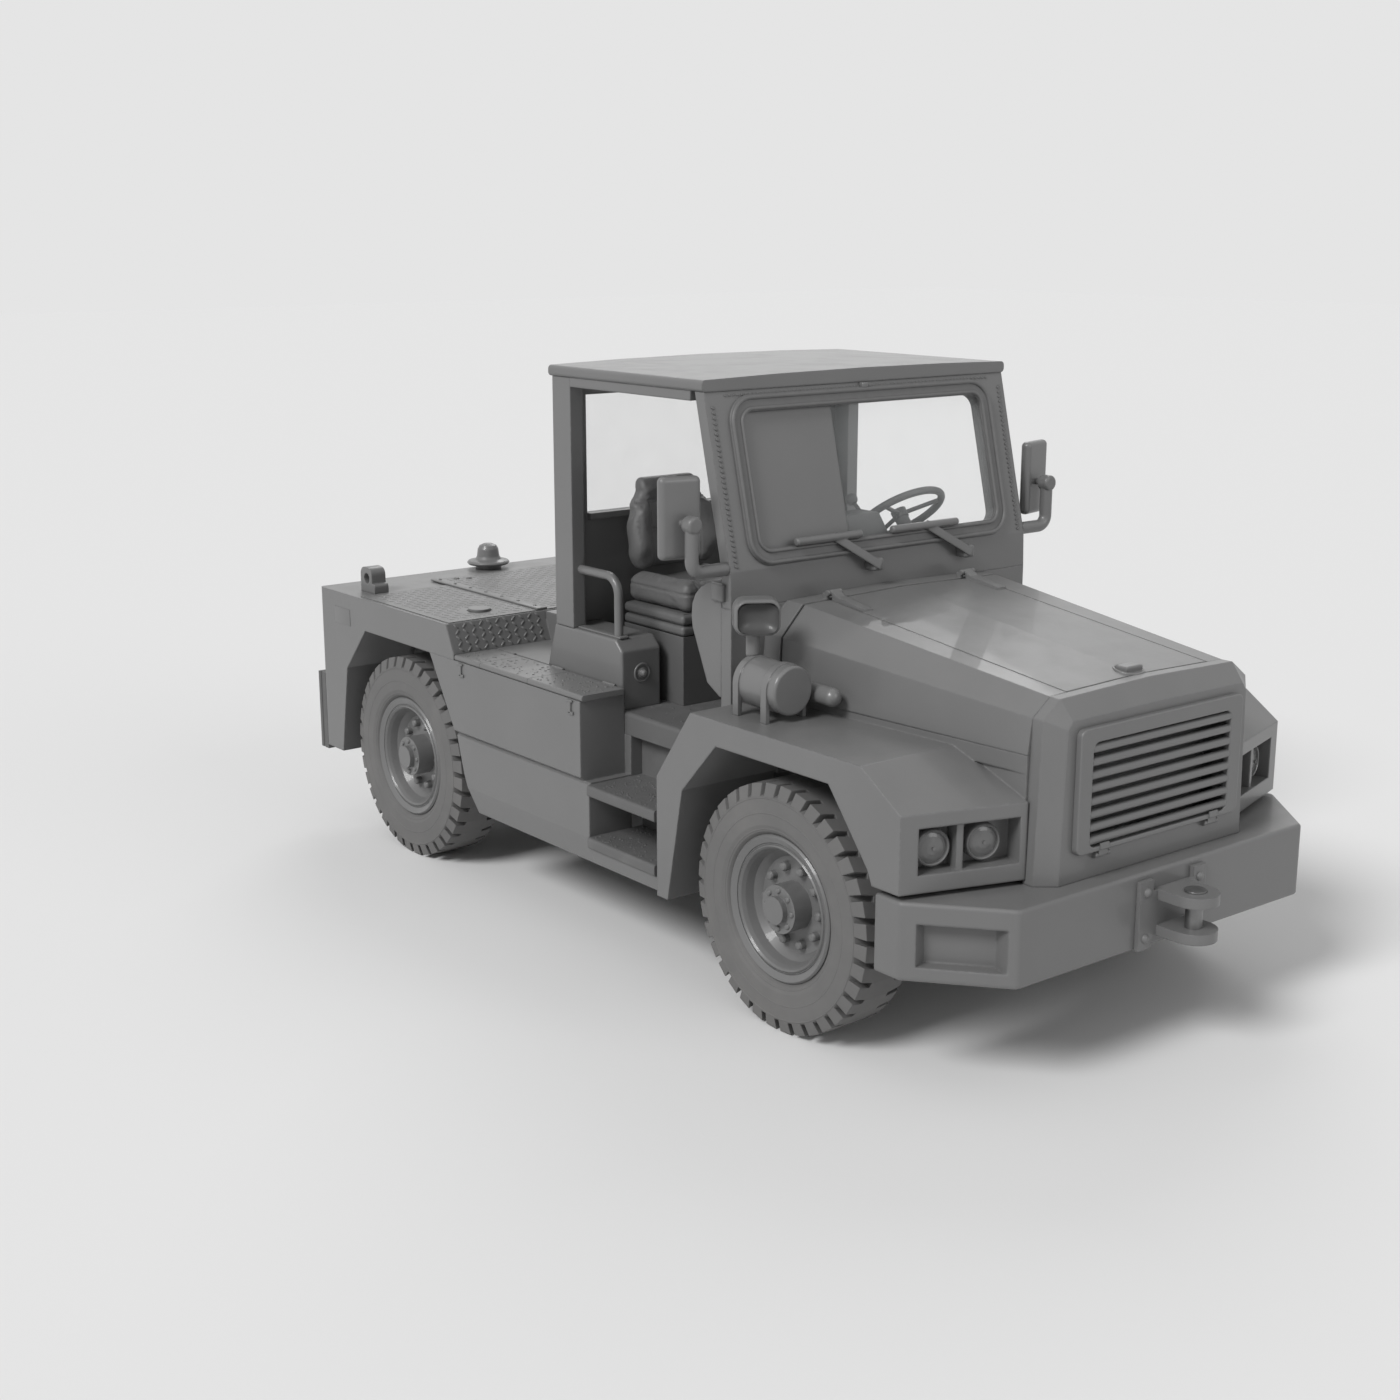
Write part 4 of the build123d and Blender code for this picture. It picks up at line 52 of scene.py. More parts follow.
class Field:
    """A value that varies over a surface; an expression on it adds Math nodes."""

    def __init__(self, tree, socket):
        self.tree = tree
        self.socket = socket

    def node(self, kind, settings=None, values=None, out=0):
        """Add one node: its settings first, then the values or links of its sockets."""
        added = self.tree.nodes.new("ShaderNode" + kind)
        for name, value in (settings or {}).items():
            setattr(added, name, value)
        for name, value in (values or {}).items():
            if isinstance(value, Field):
                self.tree.links.new(value.socket, added.inputs[name])
            else:
                added.inputs[name].default_value = value
        return Field(self.tree, added.outputs[out])

    def math(self, operation, *values):
        return self.node("Math", {"operation": operation}, dict(enumerate(values)))

    def part(self, axis):
        """One coordinate of a place or direction: 0 for x, 1 for y, 2 for z."""
        return self.node("SeparateXYZ", {}, {0: self}, out=axis)

    def size(self):
        """The value without its sign."""
        return self.math("ABSOLUTE", self)

    def wave(self):
        """The sine of the value, taken as radians."""
        return self.math("SINE", self)

    def __add__(self, other):
        return self.math("ADD", self, other)

    def __radd__(self, other):
        return self.math("ADD", other, self)

    def __sub__(self, other):
        return self.math("SUBTRACT", self, other)

    def __rsub__(self, other):
        return self.math("SUBTRACT", other, self)

    def __mul__(self, other):
        return self.math("MULTIPLY", self, other)

    def __rmul__(self, other):
        return self.math("MULTIPLY", other, self)


class Finish:
    """A material in the making, with the places on its piece and the shader that it feeds."""

    def __init__(self, name):
        self.material = bpy.data.materials.new(name)
        self.material.use_nodes = True
        self.tree = self.material.node_tree
        self.shader = self.tree.nodes["Principled BSDF"]
        coordinates = self.tree.nodes.new("ShaderNodeTexCoord")
        self.place = Field(self.tree, coordinates.outputs["Object"])
        self.facing = Field(self.tree, coordinates.outputs["Normal"])

    def noise(self, scale, detail=3.0, rough=0.55):
        return self.place.node("TexNoise", {}, {
            "Vector": self.place, "Scale": scale, "Detail": detail, "Roughness": rough})

    def cells(self, scale):
        """The fine cell walls of leather or vinyl, as the distance from the nearest one."""
        return self.place.node("TexVoronoi", {"feature": "DISTANCE_TO_EDGE"}, {
            "Vector": self.place, "Scale": scale})

    def band(self, value, low, high):
        """0 below low, 1 above high, smooth between them."""
        return value.node("MapRange", {"interpolation_type": "SMOOTHSTEP"}, {
            "Value": value, "From Min": low, "From Max": high})

    def upward(self):
        """1 on faces that look up, 0 on upright ones."""
        return self.band(self.facing.part(2), 0.25, 0.95)

    def round_edges(self, radius):
        """A normal that turns smoothly over every edge."""
        return self.place.node("Bevel", {"samples": 4}, {"Radius": radius})

    def worn_edges(self, rounded):
        """1 where a rounded normal turns away from its face, 0 on the flats."""
        flat = self.place.node("NewGeometry", out=1)
        same = rounded.node("VectorMath", {"operation": "DOT_PRODUCT"}, {0: rounded, 1: flat}, out=1)
        return self.band(1 - same, 0.02, 0.2)

    def mix(self, share, first, second):
        """A colour between two, by a share that varies."""
        return share.node("Mix", {"data_type": "RGBA"}, {0: share, 6: first, 7: second}, out=2)

    def relief(self, height, distance, strength, normal=None):
        """Fine relief over the surface, on top of a rounded normal where one is given."""
        values = {"Height": height, "Distance": distance, "Strength": strength}
        if normal is not None:
            values["Normal"] = normal
        self.feed("Normal", height.node("Bump", {}, values))

    def feed(self, socket, value):
        if isinstance(value, Field):
            self.tree.links.new(value.socket, self.shader.inputs[socket])
        else:
            self.shader.inputs[socket].default_value = value

    def paint(self, *pieces):
        """Put the finish on CAD nodes, given by name, or on the scene's own pieces."""
        for piece in pieces:
            target = nodes[piece] if isinstance(piece, str) else piece
            target.data.materials.clear()
            target.data.materials.append(self.material)


def grey(tone, warm=0.0):
    return (tone * (1 + warm), tone, tone * (1 - warm), 1)


def painted(name, tone, rough, edge, dust):
    """Sprayed paint on steel: slight mottling, dust on what faces up, bare worn edges."""
    finish = Finish(name)
    mottle = finish.noise(2.3, 4.0)
    fine = finish.noise(46.0, 2.0)
    rounded = finish.round_edges(edge)
    worn = finish.worn_edges(rounded)
    chips = finish.band(finish.noise(31.0, 4.0), 0.46, 0.62)
    colour = finish.mix(mottle, grey(tone * 0.9), grey(tone * 1.1))
    settled = finish.upward() * finish.band(finish.noise(5.0, 5.0), 0.35, 0.75) * dust
    colour = finish.mix(settled * 0.35, colour, grey(tone * 1.35, 0.02))
    colour = finish.mix(worn * chips * 0.55, colour, grey(tone * 1.55))
    finish.feed("Base Color", colour)
    finish.feed("Roughness", rough + mottle * 0.08 + settled * 0.22 - worn * 0.06)
    finish.feed("Coat Weight", 0.18)
    finish.relief(fine, 0.0004, 0.35, rounded)
    # Kept for a finish that adds something to this one.
    finish.colour = colour
    finish.rounded = rounded
    return finish


rail_paint = painted("rail_paint", 0.10, 0.55, edge=0.004, dust=0.8)
rail_paint.paint("chassis_frame", "leaf_springs")


# Axles, knuckles and tie rod
# Cast axle cases and forged steering parts, machined where they turn and greasy where they are not.
# The knuckles hang in the forks of the front axle and swing with the wheels.
cast = Finish("axle_casting")
grease = cast.band(cast.noise(6.0, 4.0), 0.5, 0.75)
cast.feed("Base Color", cast.mix(grease, grey(0.115), grey(0.06, 0.03)))
cast.feed("Roughness", 0.62 - grease * 0.25)
cast.relief(cast.noise(120.0, 3.0), 0.0012, 0.5, cast.round_edges(0.005))
cast.paint("front_axle", "rear_axle")

forged = Finish("forged_steel")
forged_mottle = forged.noise(18.0, 4.0)
forged.feed("Base Color", forged.mix(forged_mottle, grey(0.12), grey(0.17)))
forged.feed("Metallic", 0.75)
forged.feed("Roughness", 0.38 + forged_mottle * 0.2)
forged.relief(forged.noise(160.0), 0.0004, 0.4, forged.round_edges(0.004))
forged.paint("knuckle_left", "knuckle_right", "tie_rod")


# Engine and radiator
# The engine is a plain block between the rails; the radiator core is a bank of thin pressed fins
# in front of it, dull with road dust, seen between the grille's bars. The fins are painted pale,
# a painted light against the shade behind the grille, and the cells between them dark as painted shade.
engine_paint = painted("engine_paint", 0.12, 0.5, edge=0.012, dust=0.6)
engine_paint.paint("engine_block")

fins = Finish("radiator_fins")
fin_waves = 1040.0  # radians a metre, which puts a fin every 6 mm
fin_columns = (fins.place.part(1) * fin_waves).wave()
fin_rows = (fins.place.part(2) * fin_waves).wave()
fin_mesh_light_and_shade = fins.band(fin_rows * fin_columns, -0.4, 0.5)
# Painted light and shade: pale fins that stand out of the grille's shade, dark cells painted as shade
# between them.
fins.feed("Base Color", fins.mix(fin_mesh_light_and_shade, grey(0.06), grey(0.26)))
fins.feed("Metallic", 0.1)
fins.feed("Roughness", 0.6)
fins.relief(fin_mesh_light_and_shade, 0.002, 0.8)
fins.paint("radiator_core")


# Wheels
# Pressed steel discs welded in rolled rims, with a bolted hub and a cap, under one coat of paint.
# The tyres are cross-ply traction tyres with dusty, finely scuffed sides.
corners = ("front_left", "front_right", "rear_left", "rear_right")
wheel_paint = painted("wheel_paint", 0.15, 0.36, edge=0.004, dust=0.35)
wheel_paint.paint(*(f"rim_{corner}" for corner in corners))

rubber = Finish("tyre_rubber")
scuff = rubber.noise(9.0, 6.0, 0.65)
pores = rubber.noise(240.0, 2.0)
rubber_round = rubber.round_edges(0.006)
caked = rubber.band(rubber.noise(3.2, 6.0), 0.42, 0.72)
rubber_colour = rubber.mix(scuff, grey(0.115, 0.01), grey(0.15, 0.01))
rubber_colour = rubber.mix(caked * 0.4, rubber_colour, grey(0.19, 0.03))
rubber.feed("Base Color", rubber.mix(rubber.worn_edges(rubber_round) * 0.3, rubber_colour, grey(0.2)))
rubber.feed("Roughness", 0.62 + scuff * 0.2)
rubber.relief(pores + scuff * 2.0, 0.0008, 0.4, rubber_round)
rubber.paint(*(f"tyre_{corner}" for corner in corners))


# Body plates
# Bent and welded steel plate, sprayed in one satin coat: rear body, side boxes, fenders, hood,
# radiator shell and the cab's panels.
body_paint = painted("body_paint", 0.155, 0.34, edge=0.011, dust=0.45)
body_paint.paint(
    "rear_body", "side_boxes", "front_fenders", "hood_sides", "hood_lid", "cowl", "radiator_shell",
    "screen_frame", "roof", "rear_wall", "cab_sides", "screen_blank_pane", "deck_fittings")


# Side box lids
# Steel lids on the side boxes, sprayed with the body and then coated with anti-slip grit on top.
# Two narrow seams run across each lid, where its three plates meet.
lid_paint = painted("lid_paint", 0.155, 0.36, edge=0.011, dust=0.6)
lid_seams = (-0.85, -0.45)
lid_x = lid_paint.place.part(0)
lid_seam = sum(1 - lid_paint.band((lid_x - seam).size(), 0.001, 0.004) for seam in lid_seams)
lid_grit = lid_paint.upward() * lid_paint.band(lid_paint.noise(64.0, 1.0), 0.62, 0.70)
lid_colour = lid_paint.mix(lid_grit * 0.3, lid_paint.colour, grey(0.24))
lid_paint.feed("Base Color", lid_paint.mix(lid_seam * 0.75, lid_colour, grey(0.03)))
lid_paint.relief(lid_grit - lid_seam * 2, 0.0016, 0.6, lid_paint.rounded)
lid_paint.paint("box_lid_left", "box_lid_right")


# Blank plates
# A thin plain steel plate is fixed to each side of the rear body, near its rear corner.
# It is sprayed with the body.


def plate(shape, low, high, rounding, place=Matrix.Identity(4)):
    """Add a small block with rounded edges between two corners, as seen from a place."""
    low, high = Vector(low), Vector(high)
    block = bmesh.new()
    bmesh.ops.create_cube(block, size=1.0)
    bmesh.ops.scale(block, vec=high - low, verts=block.verts)
    bmesh.ops.translate(block, vec=(low + high) / 2, verts=block.verts)
    bmesh.ops.bevel(block, geom=block.edges[:], offset=rounding, segments=3, profile=0.5, affect="EDGES")
    bmesh.ops.transform(block, matrix=place, verts=block.verts)
    mesh = bpy.data.meshes.new("block")
    block.to_mesh(mesh)
    block.free()
    shape.from_mesh(mesh)
    bpy.data.meshes.remove(mesh)


def made(name, shape, body, finish):
    """Turn a bmesh into a smooth piece that rides on a body."""
    bmesh.ops.recalc_face_normals(shape, faces=shape.faces)
    mesh = bpy.data.meshes.new(name)
    shape.to_mesh(mesh)
    shape.free()
    mesh.shade_smooth()
    piece = bpy.data.objects.new(name, mesh)
    bpy.context.scene.collection.objects.link(piece)
    finish.paint(piece)
    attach(piece, body)


fitting_paint = painted("fitting_paint", 0.155, 0.4, edge=0.0012, dust=0.4)
sides = (("left", 1), ("right", -1))
body_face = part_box("rear_body")[1].y
blank_rear, blank_front = -2.252, -2.090
blank_foot, blank_top = 1.099, 1.185
blank_thickness, blank_rounding = 0.002, 0.0009
for side_name, side in sides:
    blank = bmesh.new()
    inner, outer = sorted((side * body_face, side * (body_face + blank_thickness)))
    plate(blank, (blank_rear, inner, blank_foot), (blank_front, outer, blank_top), blank_rounding)
    made(f"blank_plate_{side_name}", blank, "chassis", fitting_paint)


# Handle curbs
# Each door handle stands on a low steel curb, welded along the top of its sill box.
# A spun collar is pressed round the knob on that box's front.


def turned(shape, start, axis, outline, steps):
    """Add a round body about an axis, from (distance along it, radius) points."""
    start, axis = Vector(start), Vector(axis).normalized()
    out = axis.orthogonal().normalized()
    rings = []
    for distance, radius in outline:
        ring = []
        for step in range(steps if radius > 0 else 1):
            spoke = out.copy()
            spoke.rotate(Matrix.Rotation(2 * pi * step / steps, 3, axis))
            ring.append(shape.verts.new(start + axis * distance + spoke * radius))
        rings.append(ring)
    for one, other in zip(rings, rings[1:]):
        for step in range(steps):
            after = (step + 1) % steps
            around = [one[step % len(one)], one[after % len(one)], other[after % len(other)],
                      other[step % len(other)]]
            around = list(dict.fromkeys(around))
            if len(around) > 2:
                shape.faces.new(around)


sill_top = 1.331
curb_rear, curb_front = -0.42, -0.10
curb_inner, curb_outer = 0.788, 0.840
curb_sunk, curb_height, curb_rounding = 0.001, 0.009, 0.004
knob_x, knob_y, knob_z = -0.060, 0.748, 1.176
collar_outline = ((-0.002, 0.046), (0.003, 0.045), (0.005, 0.041), (0.005, 0.037), (0.001, 0.033))
for side_name, side in sides:
    curb = bmesh.new()
    inner, outer = sorted((side * curb_inner, side * curb_outer))
    plate(curb, (curb_rear, inner, sill_top - curb_sunk), (curb_front, outer, sill_top + curb_height),
          curb_rounding)
    turned(curb, (knob_x, side * knob_y, knob_z), (1, 0, 0), collar_outline, steps=32)
    made(f"handle_curb_{side_name}", curb, "chassis", fitting_paint)


# Hood latch dish
# A pressed steel dish is welded to the hood's lid, round its latch.
# It keeps water off the hole under the latch.
latch_x = 2.036
beside_latch = 0.09
over_hood = 2.0
dish_lift = 0.002
dish_outline = (
    (-0.006, 0.061), (0.003, 0.0605), (0.0055, 0.057), (0.003, 0.052), (0.001, 0.044), (0.001, 0))
# The lid's height and slope are felt from above, just beside the latch.
_, latch_seat, latch_out, _ = nodes["hood_lid"].ray_cast(
    Vector((latch_x, beside_latch, over_hood)), Vector((0, 0, -1)))
dish = bmesh.new()
dish_seat = (latch_seat.x, 0, latch_seat.z + dish_lift)
turned(dish, dish_seat, (latch_out.x, 0, latch_out.z), dish_outline, steps=40)
made("hood_latch_dish", dish, "hood_lid", fitting_paint)


# Lid latches
# Two folded steel catches are screwed to the face of each side box.
# Each has a cross bar under the lid's edge and a foot that is pushed aside to free it.
lid_low, lid_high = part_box("box_lid_right")
latch_places = (lid_low.x + 0.055, lid_high.x - 0.088)
latch_rounding = 0.0035
# The rear and front end of each bar from the latch's middle, how far it stands out, its foot and its top.
latch_bars = (
    (-0.009, 0.009, 0.008, 1.034, 1.096),
    (-0.009, 0.026, 0.008, 1.030, 1.045),
    (-0.022, 0.022, 0.010, 1.086, 1.097))
for side_name, side in sides:
    latches = bmesh.new()
    for x in latch_places:
        for rear, front, out, foot, top in latch_bars:
            inner, outer = sorted((side * body_face, side * (body_face + out)))
            plate(latches, (x + rear, inner, foot), (x + front, outer, top), latch_rounding)
    made(f"lid_latches_{side_name}", latches, "chassis", fitting_paint)


# Tread plates
# Rolled steel plate with lozenges that stand proud in alternate directions: small ones on the loose
# deck plates and large ones pressed into the slope down to the side lids.


def tread_pattern(shape, corner, along, over, size, pitches, height, clear_of=()):
    """Add rolled lozenges in alternate directions over a flat rectangle of plate."""
    corner, along, over = Vector(corner), Vector(along).normalized(), Vector(over).normalized()
    up = along.cross(over)
    pitch, step = pitches
    half_length, half_width = (pitch + step) * 0.235, (pitch + step) * 0.075
    sunk = 0.0005
    rows, columns = int(size[0] / pitch), int(size[1] / step)
    first = corner + along * (size[0] - rows * pitch) / 2 + over * (size[1] - columns * step) / 2
    for row in range(rows):
        for column in range(columns):
            middle = first + along * (row + 0.5) * pitch + over * (column + 0.5) * step
            if any((middle - Vector(place)).length < reach for place, reach in clear_of):
                continue
            turn = radians(45 if (row + column) % 2 else -45)
            long = (along * cos(turn) + over * sin(turn)) * half_length
            wide = (over * cos(turn) - along * sin(turn)) * half_width
            foot = [shape.verts.new(middle + spot - up * sunk) for spot in (
                -long, -long * 0.5 + wide, long * 0.5 + wide, long, long * 0.5 - wide, -long * 0.5 - wide)]
            top = [shape.verts.new(middle + spot + up * height) for spot in (
                -long * 0.72, wide * 0.35, long * 0.72, -wide * 0.35)]
            for face in ((foot[0], foot[1], top[0]), (foot[1], foot[2], top[1]), (foot[2], foot[3], top[2]),
                         (foot[3], foot[4], top[2]), (foot[4], foot[5], top[3]), (foot[5], foot[0], top[0]),
                         (foot[1], top[1], top[0]), (foot[2], top[2], top[1]), (foot[4], top[3], top[2]),
                         (foot[5], top[0], top[3]), (top[0], top[1], top[2], top[3])):
                shape.faces.new(face)


plate_steel = painted("plate_steel", 0.155, 0.42, edge=0.003, dust=0.7)
plate_steel.paint("deck_plates")
deck_low, deck_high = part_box("deck_plates")
joint_y = 0.545
side_plate_rear = deck_low.x + 0.178
deck_margin, side_margin = 0.02, 0.03
deck_pitch, deck_rise = 0.036, 0.0024
filler, filler_reach = (-1.324, -0.8, deck_high.z), 0.09
deck_tread = bmesh.new()
for y_low, y_high, x_low in ((-joint_y, joint_y, deck_low.x), (joint_y, deck_high.y, side_plate_rear),
                             (deck_low.y, -joint_y, side_plate_rear)):
    tread_pattern(
        deck_tread, (x_low + deck_margin, y_low + side_margin, deck_high.z), (1, 0, 0), (0, 1, 0),
        (deck_high.x - x_low - 2 * deck_margin, y_high - y_low - 2 * side_margin),
        (deck_pitch, deck_pitch), deck_rise, ((filler, filler_reach),))
made("deck_tread", deck_tread, "chassis", plate_steel)

slope_foot, slope_head = Vector((-1.080, 0, 1.127)), Vector((-1.142, 0, 1.262))
slope_run = slope_head - slope_foot
slope_inner, slope_outer = 0.56, 1.08
slope_pitches, slope_rise = (0.046, 0.029), 0.005
slope_tread = bmesh.new()
for first_y in (-slope_outer, slope_inner):
    tread_pattern(slope_tread, slope_foot + Vector((0, first_y, 0)), (0, 1, 0), slope_run,
                  (slope_outer - slope_inner, slope_run.length), slope_pitches, slope_rise)
made("slope_tread", slope_tread, "chassis", plate_steel)


# Deck strips
# A folded steel strip covers each joint between the deck plates, held by a row of domed screws.
# Four larger screws hold the middle plate at its rear corners.


def screw_head(shape, place, radius, steps=16):
    """Add a low domed head that stands on a level face."""
    turned(shape, place, (0, 0, 1), (
        (-0.001, radius), (radius * 0.18, radius), (radius * 0.5, radius * 0.72), (radius * 0.62, 0)), steps)


strip_half, strip_sunk, strip_height = 0.030, 0.001, 0.009
strip_margin, strip_rounding = 0.02, 0.004
screw_count, first_screw, screw_pitch, screw_radius = 7, 0.07, 0.15, 0.009
corner_screws, corner_screw_radius = ((-2.13, -0.44), (-2.10, -0.38), (-2.13, 0.44), (-2.10, 0.38)), 0.016
strips = bmesh.new()
for side in (-1, 1):
    middle = side * joint_y
    top = deck_high.z + strip_height
    plate(strips, (deck_low.x + strip_margin, middle - strip_half, deck_high.z - strip_sunk),
          (deck_high.x, middle + strip_half, top), strip_rounding)
    for step in range(screw_count):
        screw_head(strips, (deck_low.x + first_screw + step * screw_pitch, middle, top), screw_radius)
for x, y in corner_screws:
    screw_head(strips, (x, y, deck_high.z), corner_screw_radius)
made("deck_strips", strips, "chassis", plate_steel)


# Cab floor and steps
# Steel plate under a sprayed anti-slip coat of fine grit, worn smooth where feet land.
# Coarse grains stand proud of it, and of the side lids' coat.
grit = Finish("anti_slip")
grit_specks = grit.band(grit.noise(330.0, 1.0), 0.5, 0.62)
foot_wear = grit.band(grit.noise(4.0, 3.0), 0.45, 0.7)
grit.feed("Base Color", grit.mix(foot_wear * 0.5, grey(0.12), grey(0.17)))
grit.feed("Roughness", 0.75 - foot_wear * 0.2)
grit.relief(grit_specks * grit.upward(), 0.0014, 0.8, grit.round_edges(0.006))
grit.paint("cab_floor", "steps")

chance = random.Random(7)
smallest_grain, largest_grain = 0.0035, 0.0065


def coarse_grit(shape, node, low, high, count):
    """Scatter low grains over the level faces of a node inside a box."""
    for _ in range(count):
        start = Vector((chance.uniform(low[0], high[0]), chance.uniform(low[1], high[1]), high[2]))
        hit, place, normal, _ = nodes[node].ray_cast(start, Vector((0, 0, -1)), distance=high[2] - low[2])
        if hit and normal.z > 0.98:
            screw_head(shape, place, chance.uniform(smallest_grain, largest_grain), steps=7)


over_plate = 0.02
grit_inner, grit_outer, grit_margin = 0.89, 1.08, 0.03
for side_name, side in sides:
    grains = bmesh.new()
    inner, outer = sorted((side * grit_inner, side * grit_outer))
    coarse_grit(grains, f"box_lid_{side_name}", (lid_low.x + grit_margin, inner, lid_low.z),
                (lid_high.x - grit_margin, outer, lid_high.z + over_plate), count=130)
    made(f"lid_grit_{side_name}", grains, f"box_lid_{side_name}", lid_paint)

steps_low, steps_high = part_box("steps")
steps_middle = (steps_low.z + steps_high.z) / 2
step_margin = 0.02
floor_low, floor_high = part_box("cab_floor")
grains = bmesh.new()
for base, top in ((steps_low.z, steps_middle), (steps_middle, steps_high.z + over_plate)):
    coarse_grit(grains, "steps", (steps_low.x + step_margin, steps_low.y + step_margin, base),
                (steps_high.x - step_margin, steps_high.y - step_margin, top), count=700)
coarse_grit(grains, "cab_floor", floor_low,
            (floor_high.x, floor_high.y, floor_high.z + over_plate), count=400)
made("tread_grit", grains, "chassis", grit)


# Tyre side ridges
# Three low rings are moulded in each side of a tyre: a fitting line at the rim and two scuff ribs.
# They are of the tyre's own rubber.

# Each ring's radius, and how far the side lies inside the tyre's widest place there.
ridge_rings = ((0.322, 0.0085), (0.386, 0.0007), (0.446, 0.0026))
# How high each point of a ridge stands, and how far it is from the ridge's middle.
ridge_outline = ((-0.003, -0.005), (0.0006, -0.0032), (0.0018, 0), (0.0006, 0.0032), (-0.003, 0.005))
for corner in corners:
    tyre_low, tyre_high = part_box(f"tyre_{corner}")
    hub = (tyre_low + tyre_high) / 2
    half_width = (tyre_high.y - tyre_low.y) / 2
    ridges = bmesh.new()
    for side in (-1, 1):
        for ring_radius, depth in ridge_rings:
            turned(ridges, (hub.x, hub.y + side * (half_width - depth), hub.z), (0, side, 0),
                   [(rise, ring_radius + offset) for rise, offset in ridge_outline], steps=96)
    made(f"tyre_ridges_{corner}", ridges, f"wheel_{corner}", rubber)


# Bumper, jaws and pins
# Thick plate bumper with flame-cut tow jaws that are bolted to it.
# The jaws and their loose pins are rubbed bright by the towbar.
bumper_paint = painted("bumper_paint", 0.15, 0.36, edge=0.014, dust=0.5)
bumper_paint.paint("front_bumper")

jaw_steel = painted("jaw_steel", 0.15, 0.45, edge=0.006, dust=0.3)
jaw_steel.paint("tow_jaws")

pin_steel = Finish("pin_steel")
pin_rub = pin_steel.noise(26.0, 5.0)
pin_steel.feed("Base Color", pin_steel.mix(pin_rub, grey(0.16), grey(0.28)))
pin_steel.feed("Metallic", 0.85)
pin_steel.feed("Roughness", 0.3 + pin_rub * 0.2)
pin_steel.relief(pin_rub, 0.0003, 0.4, pin_steel.round_edges(0.004))
pin_steel.paint("tow_pin_front", "tow_pin_rear")


# Rear buffers
# Two upright blocks of moulded rubber with ribs down their faces, bolted to the rear plate.
# Their rubber is dull and scuffed.
buffer_rubber = Finish("buffer_rubber")
buffer_scuff = buffer_rubber.noise(14.0, 5.0)
buffer_rubber.feed("Base Color", buffer_rubber.mix(buffer_scuff, grey(0.09), grey(0.13)))
buffer_rubber.feed("Roughness", 0.7)
buffer_rubber.relief(buffer_scuff, 0.001, 0.4, buffer_rubber.round_edges(0.006))
buffer_rubber.paint("rear_pads")


# Grille
# A welded steel frame with round bars under one satin coat.
# It opens on two strap hinges at its foot.
grille_paint = painted("grille_paint", 0.15, 0.34, edge=0.004, dust=0.3)
grille_paint.paint("grille")


# Air cleaner and intake
# A spun sheet drum held by two clamp bands, with its outlet duct and a moulded intake hood on a pipe.
# A near-black dished bowl closes the intake's mouth a little way in from its lip, as painted shade for its
# deep inside.
cleaner_paint = painted("cleaner_paint", 0.165, 0.26, edge=0.008, dust=0.35)
cleaner_paint.paint("air_cleaner")

moulded = Finish("moulded_plastic")
moulded_fade = moulded.noise(5.0, 3.0)
moulded.feed("Base Color", moulded.mix(moulded_fade, grey(0.135), grey(0.16)))
moulded.feed("Roughness", 0.28 + moulded_fade * 0.12)
moulded.feed("Coat Weight", 0.2)
moulded.relief(moulded.noise(420.0, 1.0), 0.0002, 0.4, moulded.round_edges(0.012))
moulded.paint("air_intake", "mirrors", "wipers")

# The bowl's near-black tone is painted shade: it stands for the dark depth inside the intake.
bowl_painted_shade = painted("intake_shade_bowl", 0.06, 0.42, edge=0.003, dust=0.2)
mouth_middle, mouth_turn = (0.882, -0.88, 1.597), radians(-33)
mouth = Matrix.Translation(mouth_middle) @ Matrix.Rotation(mouth_turn, 4, "Z")
bowl_front, bowl_depth = 0.068, 0.036
bowl_half_width, bowl_half_height = 0.0795, 0.0605
bowl_squareness = 4
bowl_steps = 48
bowl = bmesh.new()
bowl_rings = []
for share in (1.0, 0.93, 0.84, 0.7, 0.5, 0.28, 0.0):
    ring = []
    for step in range(bowl_steps if share else 1):
        angle = 2 * pi * step / bowl_steps
        spread = abs(cos(angle)) ** bowl_squareness + abs(sin(angle)) ** bowl_squareness
        reach = spread ** (-1 / bowl_squareness)
        ring.append(bowl.verts.new(mouth @ Vector((
            bowl_front - bowl_depth * (1 - share ** 3),
            bowl_half_width * share * reach * cos(angle),
            bowl_half_height * share * reach * sin(angle)))))
    bowl_rings.append(ring)
for one, other in zip(bowl_rings, bowl_rings[1:]):
    for step in range(bowl_steps):
        after = (step + 1) % bowl_steps
        around = (one[step], one[after], other[after % len(other)], other[step % len(other)])
        bowl.faces.new(list(dict.fromkeys(around)))
made("intake_shade_bowl", bowl, "chassis", bowl_painted_shade)


# Lamps
# Moulded lenses over grey reflectors, with ring and dot relief pressed into them.
# The tail lamps have a rim of moulded rubber, and a small header lamp sits over the windscreen.
lens = Finish("lamp_lens")
lens_fade = lens.noise(12.0, 3.0)
lens.feed("Base Color", lens.mix(lens_fade, grey(0.13), grey(0.16)))
lens.feed("Roughness", 0.2 + lens_fade * 0.08)
lens.feed("Coat Weight", 0.3)
lens.relief(lens.noise(90.0, 1.0), 0.0004, 0.25)
lens.paint("lamps")
body_paint.paint("beacon")

header_rear, header_front, header_half, header_foot, header_top = 0.512, 0.546, 0.018, 2.424, 2.449
header_lamp = bmesh.new()
plate(header_lamp, (header_rear, -header_half, header_foot), (header_front, header_half, header_top),
      rounding=0.007)
made("header_lamp", header_lamp, "chassis", lens)

seal = Finish("seal_rubber")
seal_wear = seal.noise(30.0, 4.0)
seal.feed("Base Color", seal.mix(seal_wear, grey(0.115), grey(0.15)))
seal.feed("Roughness", 0.42 + seal_wear * 0.15)
seal.relief(seal_wear, 0.0004, 0.3, seal.round_edges(0.006))

